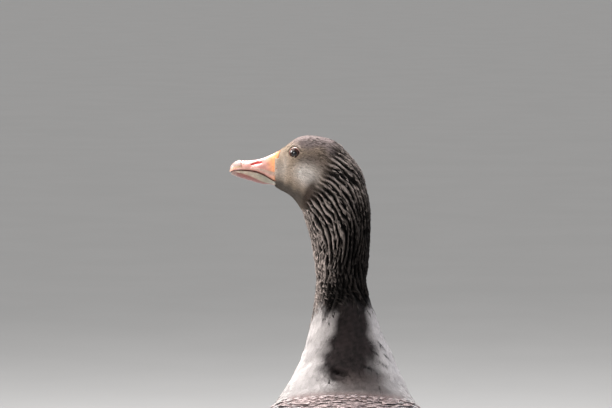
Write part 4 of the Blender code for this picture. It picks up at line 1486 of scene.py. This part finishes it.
class MakeTail(bpy.types.Operator):
    """Lays the tail's fan of long feathers"""

    bl_idname = "goose.tail"
    bl_label = "Tail"

    def execute(self, context):
        sheet = Sheet("tail")
        low, high = sheet.low, sheet.low + sheet.size
        centre, wide = (low[0] + high[0]) / 2, (high[0] - low[0]) / 2
        tail, white, rump = [hue(name) for name in ("tail", "white", "mantle")]
        long_finish = feather_finish("tail_feather", 44, shaft=0.3, rough=0.62, edge=0.84)
        soft_finish = feather_finish("tail_covert", 16, rough=0.78, edge=0.75)
        # Each fan: name, finish, cut, count, spread of roots and of tips, how far the roots, the middle tips
        # and the outer tips lie from the tail's end, half width, rest of root and tip, tone, fringe and its
        # strength.
        fans = (
            ("tail_feathers", long_finish, QUILL, 18, 20, wide / MM - 9, 106, 0, 25, 12.5, (-4.5, -0.6),
             tail, white, 1.0),
            ("tail_coverts_long", soft_finish, QUILL, 23, 19, wide / MM - 22, 132, 58, 74, 7.5, (-4.0, 0.9),
             white * 0.96, white, 0.4),
            ("tail_coverts_middle", soft_finish, QUILL, 21, 22, wide / MM - 28, 148, 80, 92, 7.8,
             (-3.6, 1.9), white * 0.9, white, 0.4),
            ("tail_coverts_short", soft_finish, BROAD, 18, 24, wide / MM - 32, 160, 99, 108, 8, (-3.4, 2.8),
             rump * 0.6 + white * 0.3, white, 0.5),
        )
        for seed, fan in enumerate(fans):
            name, finish, cut, count, near, far, start, stop, outer, half, rest, tone, rim, edge = fan
            out = np.linspace(-1, 1, count)
            roots = np.stack([centre + near * MM * out, high[1] - (start + 8 * out**2) * MM], axis=1)
            back = stop + (outer - stop) * np.abs(out) ** 2.2
            tips = np.stack([centre + far * MM * out, high[1] - back * MM], axis=1)
            spots, long, heading = sheet.between(roots, tips)
            stack = 1.7 * np.abs(out)
            piece = lay_feathers(name, sheet, cut, spots, long, half * MM, np.tile(tone, (count, 1)),
                                 (*rim, edge), rest=(rest[0] - stack, rest[1] - stack), crown=0.06,
                                 heading=heading,
                                 roll=-0.05 * np.sign(out), ragged=0.006 if seed == 0 else 0.014, shade=0.85,
                                 thick=0.35, seed=81 + seed)
            dress(piece, finish, "tail_plumage")
        return {"FINISHED"}


class MakeLegFeathers(bpy.types.Operator):
    """Covers the feathered part of the legs"""

    bl_idname = "goose.leg_feathers"
    bl_label = "Leg Feathers"

    def execute(self, context):
        finish = feather_finish("leg_feather", 10, rough=0.78)
        for side in SIDES:
            form = Bird.legs[side]
            keep = lambda p, a: ease(p, 0.02, 0.08) * (p < 0.97)
            roots = scatter(form, 0.02, 0.98, keep, lambda p, a: (4.2 - 2.4 * p) * MM, 91)
            rng = np.random.default_rng(92)
            count = len(roots[0])
            long = (20 - 12 * roots[0]) * MM * rng.uniform(0.9, 1.1, count)
            tone = blend(np.array([0.52, 0.48, 0.45]), np.array([0.33, 0.285, 0.26]),
                         ease(roots[0], 0.3, 0.9))
            tone = tone * rng.normal(1, 0.07, (count, 1))
            piece = lay_feathers(f"leg_feathers_{side}", form, STRAND, roots, long, long * 0.2, tone,
                                 (0.7, 0.66, 0.62, 0.3), rest=(-2.0, 0.3), crown=0.15,
                                 heading=rng.normal(0, 0.12, count), thick=0.25, shade=0.75, seed=93)
            dress(piece, finish, "plumage")
        return {"FINISHED"}


def horn_finish(name, rough=0.42, coat=0.15):
    """Bare horn or skin: the colours painted on its points, with pores and fine mottling."""
    f = Finish(name, rough, Coat_Weight=coat, Coat_Roughness=0.25, Subsurface_Weight=0.08,
               Subsurface_Scale=0.003)
    fine, broad = f.noise(1300, 4), f.noise(220, 3)
    tone = f.attribute("tone").outputs["Color"]
    tone = f.mottled(tone, broad, (0.82, 0.78, 0.76), (1.06, 1.05, 1.05))
    tone = f.mottled(tone, fine, (0.93, 0.91, 0.9), (1.04, 1.04, 1.04))
    f.feed("Base Color", tone)
    f.feed("Roughness", f.remap(broad, 0.25, 0.75, rough - 0.1, rough + 0.14))
    f.bump(f.maths("MULTIPLY_ADD", broad, 1.5, fine), 0.12 * MM)
    return f.material


class MakeBill(bpy.types.Operator):
    """Shapes the two mandibles, with nostrils, nail and the comb of lamellae along the gape"""

    bl_idname = "goose.bill"
    bl_label = "Bill"

    def execute(self, context):
        finish = horn_finish("bill_horn", 0.42, 0.08)
        for name, keys, upper in (("upper_mandible", UPPER_BILL, True),
                                  ("lower_mandible", LOWER_BILL, False)):
            rows, columns = 240, 88
            stations = [through(np.array(keys, float), p) for p in np.linspace(0, len(keys) - 1, rows)]
            spots = np.zeros((rows, columns, 3))
            marks = np.zeros((rows, columns, 3))
            for r, (ahead, crest, edge, half) in enumerate(stations):
                slim = np.interp(ahead, (74, 100, 128, 139), (0.40, 0.34, 0.22, 0.10))
                for c in range(columns):
                    a = 2 * pi * c / columns
                    side, rise = cos(a), sin(a)
                    if rise >= 0:
                        swell = rise ** (0.95 if upper else 0.8)
                        out = half * side * (1 - slim * swell)
                        up = edge + (crest - edge) * swell
                    else:
                        out = half * side * (1 - 0.12 * abs(rise))
                        hollow = 0.55 * abs(rise) ** 0.7 if upper else -0.26 * abs(rise) ** 1.6
                        up = edge + (crest - edge) * hollow
                    spots[r, c] = (ahead, out, up)
                    marks[r, c] = (rise, side, abs(crest - edge))
            tone = self.shape_upper(spots, marks) if upper else self.shape_lower(spots, marks)
            blunt = np.sqrt(1 - 0.998 * (np.arange(16) / 15) ** 2)[:, None, None]
            middle = spots[-16:].mean(axis=1, keepdims=True)
            spots[-16:] = middle + (spots[-16:] - middle) * blunt
            placed = np.array([[on_head(*spot) for spot in row] for row in spots])
            mesh = grid_mesh(name, placed)
            paint(mesh, "tone", tone.reshape(-1, 3))
            dress(new_object(name, mesh), finish, "bill", "bill_upper" if upper else "bill_lower")
        return {"FINISHED"}

    def shape_upper(self, spots, marks):
        ahead, out, up = [spots[..., k].copy() for k in range(3)]
        rise = marks[..., 0]
        outer = rise > -0.02
        near_slit, far_slit = np.array(NOSTRIL[0]), np.array(NOSTRIL[1])
        way = far_slit - near_slit
        t = np.clip(((ahead - near_slit[0]) * way[0] + (up - near_slit[1]) * way[1]) / (way @ way), 0, 1)
        gap = np.hypot(ahead - near_slit[0] - t * way[0], up - near_slit[1] - t * way[1])
        slit = bell(gap, 0, 1.7 * np.sin(pi * (0.12 + 0.76 * t)) + 0.15) * outer
        groove = bell(gap, 0, 3.6) * outer * (rise < 0.93)
        nail = ease(ahead, NAIL_START - 0.6, NAIL_START + 1.4) * ease(rise, 0.12, 0.34)
        seam = bell(ahead, NAIL_START, 0.8) * ease(rise, 0.25, 0.5)
        lip = bell(rise, 0.10, 0.09) * outer
        inward = 2.0 * slit + 0.45 * groove - 0.4 * nail + 0.2 * seam - 0.35 * lip
        spots[..., 1] -= np.sign(out) * inward * np.minimum(1, np.abs(out) / 3)
        spots[..., 2] += np.where(outer, 0.35 * nail - 0.2 * seam, 0)
        teeth = np.sin(ahead * 2 * pi / 1.7)
        comb = (rise < 0.0) * (rise > -0.35) * ease(ahead, 80, 90) * (1 - ease(ahead, 124, 130))
        spots[..., 2] += 0.5 * comb * teeth
        base, horn, pale = [hue(k) for k in ("bill_base", "bill", "nail")]
        # Ridge, root, the root's edge, round the nostril, nostril, nail, its seam, its sides, gape, palate.
        return layered(
            np.broadcast_to(horn, spots.shape),
            ((0.50, 0.33, 0.295), ease(rise, 0.6, 0.98) * 0.8),
            (base, (1 - ease(ahead + 7 * (1 - rise), 84, 98)) * 0.95),
            ((0.86, 0.30, 0.12), (1 - ease(ahead, 80, 84)) * 0.5),
            ((0.60, 0.17, 0.12), bell(gap, 0, 2.3) * outer * 0.7),
            ((0.62, 0.035, 0.03), np.clip(1.3 * slit, 0, 1)),
            (pale, nail),
            ((0.55, 0.30, 0.20), seam * 0.4),
            ((0.74, 0.50, 0.20), nail * (1 - ease(rise, 0.2, 0.5)) * 0.6),
            # The gape line is painted shade in the gap between the mandibles.
            ((0.22, 0.075, 0.045), bell(rise, 0, 0.055) * 0.9),
            ((0.42, 0.30, 0.24), ease(-rise, 0.06, 0.3)),
        )

    def shape_lower(self, spots, marks):
        ahead = spots[..., 0].copy()
        rise = marks[..., 0]
        outer = rise > -0.02
        band = 1 - ease(ahead, 86, 130)
        share = np.where(outer, rise, 0)
        comb = (1 - ease(share, 0.12 + 0.5 * band, 0.30 + 0.6 * band)) * outer
        teeth = np.sin(ahead * 2 * pi / 1.25)
        reach = ease(ahead, 80, 86) * (1 - ease(ahead, 124, 130))
        inward = -0.28 * teeth * comb * reach * ease(share, 0.0, 0.1) + 0.6 * comb * reach
        spots[..., 1] -= np.sign(spots[..., 1]) * inward
        pink, nail = np.array([0.20, 0.065, 0.055]), hue("nail")
        pale = blend(np.array([0.46, 0.40, 0.32]), np.array([0.27, 0.265, 0.21]), 1 - ease(ahead, 92, 112))
        # Comb, gape, nail, root and the inside of the mouth.
        return layered(
            np.broadcast_to(pink, spots.shape),
            (pale, comb),
            # The gape line is painted shade in the gap between the mandibles.
            ((0.16, 0.11, 0.08), bell(share, 0, 0.05) * outer * 0.8),
            (nail * 0.9, ease(ahead, 128, 131)),
            (hue("bill_base"), (1 - ease(ahead, 80, 88)) * ease(share, 0.7, 0.95)),
            # The inside of the mouth, painted dark as shade in the gape.
            ((0.17, 0.055, 0.045), ease(-rise, 0.04, 0.2)),
        )


class MakeEyes(bpy.types.Operator):
    """Shapes the eyeballs and the bare lids round them"""

    bl_idname = "goose.eyes"
    bl_label = "Eyes"

    def execute(self, context):
        ball = Finish("eyeball", 0.12, Coat_Weight=0.35, Coat_Roughness=0.02, Specular_IOR_Level=0.25)
        tone = ball.attribute("tone").outputs["Color"]
        fibres = ball.noise(1500, 3)
        tone = ball.mottled(tone, fibres, (0.7, 0.65, 0.6), (1.1, 1.1, 1.1))
        ball.feed("Base Color", tone)
        lids = horn_finish("eyelid", 0.5, 0.1)
        for side, sign in SIDES.items():
            eye = on_head(EYE[0], sign * EYE[1], EYE[2])
            low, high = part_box(f"eye_{side}")
            radius = (high.z - low.z) / 2
            axis = np.array([0.25, sign, 0.04])
            axis /= np.linalg.norm(axis)
            fore = np.cross(np.array([0, 0, 1.0]), axis)
            fore /= np.linalg.norm(fore)
            up = np.cross(axis, fore)
            turns = np.linspace(0, 2 * pi, 56, endpoint=False)
            tilt = np.radians(EYE_RINGS)
            bulge = radius * (1 + 0.045 * bell(tilt, 0, 0.5))
            tilts, bulges = tilt[:, None] + 0 * turns, bulge[:, None] + 0 * turns
            spots = self.dome(eye, axis, fore, up, tilts, bulges, turns)
            mesh = grid_mesh(f"eyeball_{side}", spots)
            shade = np.repeat(np.degrees(tilt), len(turns))
            iris = hue("iris")
            tones = blend(np.array([0.004, 0.004, 0.005]), iris, ease(shade, 26, 31))
            tones = blend(tones, iris * 0.4, ease(shade, 46, 52))
            paint(mesh, "tone", tones)
            dress(new_object(f"eyeball_{side}", mesh), ball.material, "eye", f"eye_{side}")
            self.lid(side, eye, axis, fore, up, radius, turns, lids, hue("lid"))
        return {"FINISHED"}

    def dome(self, eye, axis, fore, up, tilt, radius, turns):
        """Points round the eye's axis at some tilts from it and distances from the eye's middle."""
        round_it = np.cos(turns)[:, None] * fore + np.sin(turns)[:, None] * up
        ahead, out = np.cos(tilt)[..., None], np.sin(tilt)[..., None]
        return eye + radius[..., None] * (ahead * axis + out * round_it[None])

    def lid(self, side, eye, axis, fore, up, radius, turns, finish, tint):
        """A lid with a rounded rim, a fold outside it and a skirt that sinks into the feathers."""
        opening = 58 - 3.0 * np.clip(np.sin(turns), 0, 1) + 2.6 * np.abs(np.cos(turns)) ** 6
        away, height, share = np.array(LID_RINGS)[:, :, None].transpose(1, 0, 2)
        tilt = np.radians(away + opening)
        creases = 0.10 * np.sin(turns * 17)[None] * ((share > 0.3) & (share < 0.9))
        out = radius + (height + creases) * MM
        spots = self.dome(eye, axis, fore, up, tilt, out, turns)
        mesh = grid_mesh(f"lids_{side}", spots, (False, False))
        work = bmesh.new()
        work.from_mesh(mesh)
        work.verts.ensure_lookup_table()
        n, last = len(turns), (len(LID_RINGS) - 1) * len(turns)
        for k in range(n):
            m = (k + 1) % n
            work.faces.new([work.verts[i] for i in (last + k, k, m, last + m)])
        bmesh.ops.recalc_face_normals(work, faces=work.faces)
        work.to_mesh(mesh)
        work.free()
        mesh.shade_smooth()
        paint(mesh, "tone", blend(np.array([0.32, 0.25, 0.20]), tint, np.repeat(share, n)))
        dress(new_object(f"lids_{side}", mesh), finish, "bill")


class MakeLegs(bpy.types.Operator):
    """Shapes the bare legs with their scutes and webs, and finishes the claws"""

    bl_idname = "goose.legs"
    bl_label = "Legs and Feet"

    def execute(self, context):
        finish = horn_finish("leg_skin", 0.5, 0.1)
        claws = self.claw_finish(hue("claw"))
        for side in SIDES:
            names = [f"{part}_{side}" for part in ("shank", "foot", "hind_toe")]
            piece = self.joined(f"leg_{side}", names)
            self.scales(piece, side, hue("leg"))
            dress(piece, finish, "leg", *names)
            for toe in ("inner", "middle", "outer"):
                node = frame["nodes"][f"claw_{toe}_{side}"]
                soft = node.modifiers.new("rounding", "SUBSURF")
                soft.levels = soft.render_levels = 2
                node.data.materials.clear()
                node.data.materials.append(claws)
        return {"FINISHED"}

    def claw_finish(self, tint):
        f = Finish("claw_horn_plain", 0.35, Coat_Weight=0.3, Coat_Roughness=0.2)
        grain = f.noise(700, 3)
        f.feed("Base Color", f.mix(f.remap(grain, 0.3, 0.7), tuple(tint * 0.7), tuple(tint * 1.6)))
        f.feed("Roughness", f.remap(grain, 0.3, 0.7, 0.28, 0.48))
        f.bump(grain, 0.1 * MM)
        return f.material

    def joined(self, name, names):
        """One closed mesh over some nodes, evened out."""
        work = bmesh.new()
        for node in names:
            work.from_mesh(frame["nodes"][node].data)
        spots = np.array([v.co for v in frame["nodes"][names[0]].data.vertices])
        ankle = spots[spots[:, 2] < spots[:, 2].min() + 6 * MM].mean(axis=0)
        ankle[2] = 11.5 * MM
        place = Matrix.Translation(ankle) @ Matrix.Diagonal((0.95, 1.1, 1.25, 1))
        bmesh.ops.create_uvsphere(work, u_segments=20, v_segments=12, radius=5.4 * MM, matrix=place)
        spots = np.array([v.co for v in frame["nodes"][names[2]].data.vertices])
        knuckle = spots[spots[:, 1] < spots[:, 1].min() + 1.5 * MM].mean(axis=0)
        knuckle[1] -= 1.2 * MM
        place = Matrix.Translation(knuckle) @ Matrix.Diagonal((0.9, 1.6, 1, 1))
        bmesh.ops.create_uvsphere(work, u_segments=20, v_segments=12, radius=2.7 * MM, matrix=place)
        mesh = bpy.data.meshes.new(name)
        work.to_mesh(mesh)
        work.free()
        rough = new_object(f"{name}_rough", mesh)
        remesh = rough.modifiers.new("remesh", "REMESH")
        remesh.mode, remesh.voxel_size = "VOXEL", 0.85 * MM
        even = rough.modifiers.new("even", "SMOOTH")
        even.iterations, even.factor = 4, 0.5
        grown = rough.evaluated_get(bpy.context.evaluated_depsgraph_get())
        made = bpy.data.meshes.new_from_object(grown)
        made.name = name
        bpy.data.objects.remove(rough)
        return new_object(name, made)

    def scales(self, piece, side, tint):
        """Presses the pattern of scutes and small scales into the leg and colours it."""
        mesh = piece.data
        count = len(mesh.vertices)
        spots, normals = np.zeros(count * 3, np.float32), np.zeros(count * 3, np.float32)
        mesh.vertices.foreach_get("co", spots)
        mesh.vertices.foreach_get("normal", normals)
        spots, normals = spots.reshape(-1, 3).astype(float), normals.reshape(-1, 3)
        low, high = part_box(f"shank_{side}")
        root = np.array([(low.x + high.x) / 2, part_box(f"foot_{side}")[1].y - 9 * MM])
        shank = ease(spots[:, 2], 14 * MM, 22 * MM)
        flat = spots[:, :2] - root
        away = np.hypot(flat[:, 0], flat[:, 1])
        bands = np.abs(np.sin(pi * away / (3.1 * MM))) ** 0.5
        rings = np.abs(np.sin(pi * (spots[:, 2] + 0.25 * (spots[:, 1] - root[1])) / (4.2 * MM))) ** 0.5
        cells = self.cells(spots, 1.9 * MM)
        top = ease(normals[:, 2], 0.2, 0.6)
        fore = ease(-normals[:, 1], 0.1, 0.6)
        ridge = ease(spots[:, 2], 4.2 * MM, 5.6 * MM)
        pattern = cells * (1 - ridge) + bands * ridge
        pattern = pattern * (1 - shank) + (rings * fore + cells * (1 - fore)) * shank
        pressed = -0.42 * MM * (1 - pattern) * np.clip(top * (1 - shank) + shank, 0, 1)
        pressed = np.where(spots[:, 2] < 1.0 * MM, 0, pressed)
        mesh.vertices.foreach_set("co", (spots + normals * pressed[:, None]).astype(np.float32).ravel())
        mesh.update()
        tone = tint * (0.55 + 0.5 * pattern[:, None])
        tone = blend(tone, tint * np.array([0.75, 0.62, 0.62]), (1 - ridge) * (1 - shank) * 0.6)
        paint(mesh, "tone", np.clip(tone, 0.01, 1))

    def cells(self, spots, size):
        """A net of small rounded cells: 1 in the middle of a cell, 0 between cells."""
        u, v, w = (spots / size).T
        return np.clip(0.5 + 0.45 * (np.cos(2 * pi * u) * np.cos(2 * pi * (0.5 * u + 0.87 * v))
                                     + np.cos(2 * pi * (v + 0.4 * w))), 0, 1)


class MakeStage(bpy.types.Operator):
    """Sets up the studio: floor, lights and camera"""

    bl_idname = "goose.stage"
    bl_label = "Studio"

    def execute(self, context):
        self.floor(context)
        neck = Vector((*NECK_AXIS, 0.0))
        self.lights(neck)
        self.surroundings(context)
        self.camera(context, neck)
        return {"FINISHED"}

    def floor(self, context):
        mesh = bpy.data.meshes.new("floor")
        work = bmesh.new()
        bmesh.ops.create_grid(work, x_segments=2, y_segments=2, size=150)
        work.to_mesh(mesh)
        work.free()
        floor = new_object("floor", mesh)
        f = Finish("studio_floor", 0.9)
        pale = tuple(context.scene.goose_colours.floor)
        tone = f.mix(f.remap(f.noise(3, 2), 0.3, 0.7), [c * 0.97 for c in pale], pale)
        f.feed("Base Color", tone)
        mesh.materials.append(f.material)

    def lights(self, neck):
        """Four round lamps about the neck, and a soft light from the bird's right."""
        lamps = (
            ("overhead", (0.4, -1.2, 2.4), 1.2, 165, (1.0, 0.985, 0.98)),
            ("key", (1.5, 2.5, 1.7), 1.4, 74, (1.0, 0.98, 0.955)),
            ("rim_left", (2.2, -0.6, 1.6), 1.1, 58, (1.0, 0.985, 0.97)),
            ("rim_right", (-2.3, -0.6, 1.4), 1.4, 54, (0.84, 0.90, 1.0)),
        )
        for name, place, size, power, tint in lamps:
            data = bpy.data.lights.new(name, "AREA")
            data.shape, data.size, data.energy, data.color = "DISK", size, power, tint
            lamp = new_object(name, data)
            lamp.location = neck + Vector(place)
            self.turn(lamp, neck + Vector((0, 0.1, 0.5)) - lamp.location)
        soft = bpy.data.lights.new("soft_box", "SUN")
        soft.energy, soft.angle, soft.color = 2.1, radians(55), (1.0, 0.99, 0.975)
        self.turn(new_object("soft_box", soft), Vector((-0.62, 0.02, -0.78)))

    def turn(self, thing, way):
        """Turns a lamp or a camera to face a way."""
        thing.rotation_mode = "QUATERNION"
        thing.rotation_quaternion = way.to_track_quat("-Z", "Y")

    def surroundings(self, context):
        world = bpy.data.worlds.new("studio")
        world.use_nodes = True
        backdrop = world.node_tree.nodes["Background"]
        backdrop.inputs["Color"].default_value = (0.86, 0.87, 0.89, 1)
        backdrop.inputs["Strength"].default_value = 0.38
        context.scene.world = world
        context.scene.view_settings.view_transform = "Standard"

    def camera(self, context, neck):
        stage = context.scene.goose_stage
        data = bpy.data.cameras.new("camera")
        camera = new_object("camera", data)
        data.lens = data.sensor_width * stage.distance / stage.picture_width
        data.clip_end = 400
        aim = neck + Vector((CAMERA_AIM[0] - NECK_AXIS[0], 0, CAMERA_AIM[1]))
        back = Vector((0, cos(stage.elevation), sin(stage.elevation)))
        camera.location = aim + back * stage.distance
        self.turn(camera, -back)
        context.scene.camera = camera


class GoosePanel(bpy.types.Panel):
    """Lists the pieces of the bird and their settings"""

    bl_idname = "VIEW3D_PT_goose"
    bl_label = "Goose"
    bl_space_type = "VIEW_3D"
    bl_region_type = "UI"
    bl_category = "Goose"

    def draw(self, context):
        for step in STEPS:
            self.layout.operator(step.bl_idname)
        for group in (context.scene.goose_plumage, context.scene.goose_colours, context.scene.goose_stage):
            box = self.layout.box()
            for name in group.__annotations__:
                box.prop(group, name)


SETTINGS = {"goose_plumage": GoosePlumage, "goose_colours": GooseColours, "goose_stage": GooseStage}
STEPS = (MakeForms, MakeSkin, MakeHeadFeathers, MakeNeckFeathers, MakeBodyFeathers, MakeWings, MakeTail,
         MakeLegFeathers, MakeBill, MakeBillMargin, MakeEyes, MakeLegs, MakeStage)


def register():
    for kind in (*SETTINGS.values(), *STEPS, GoosePanel):
        bpy.utils.register_class(kind)
    for name, kind in SETTINGS.items():
        setattr(bpy.types.Scene, name, PointerProperty(type=kind))


def unregister():
    for name in SETTINGS:
        delattr(bpy.types.Scene, name)
    for kind in reversed((*SETTINGS.values(), *STEPS, GoosePanel)):
        bpy.utils.unregister_class(kind)


def main():
    register()
    for step in STEPS:
        group, name = step.bl_idname.split(".")
        getattr(getattr(bpy.ops, group), name)()


if __name__ == "__main__":
    main()
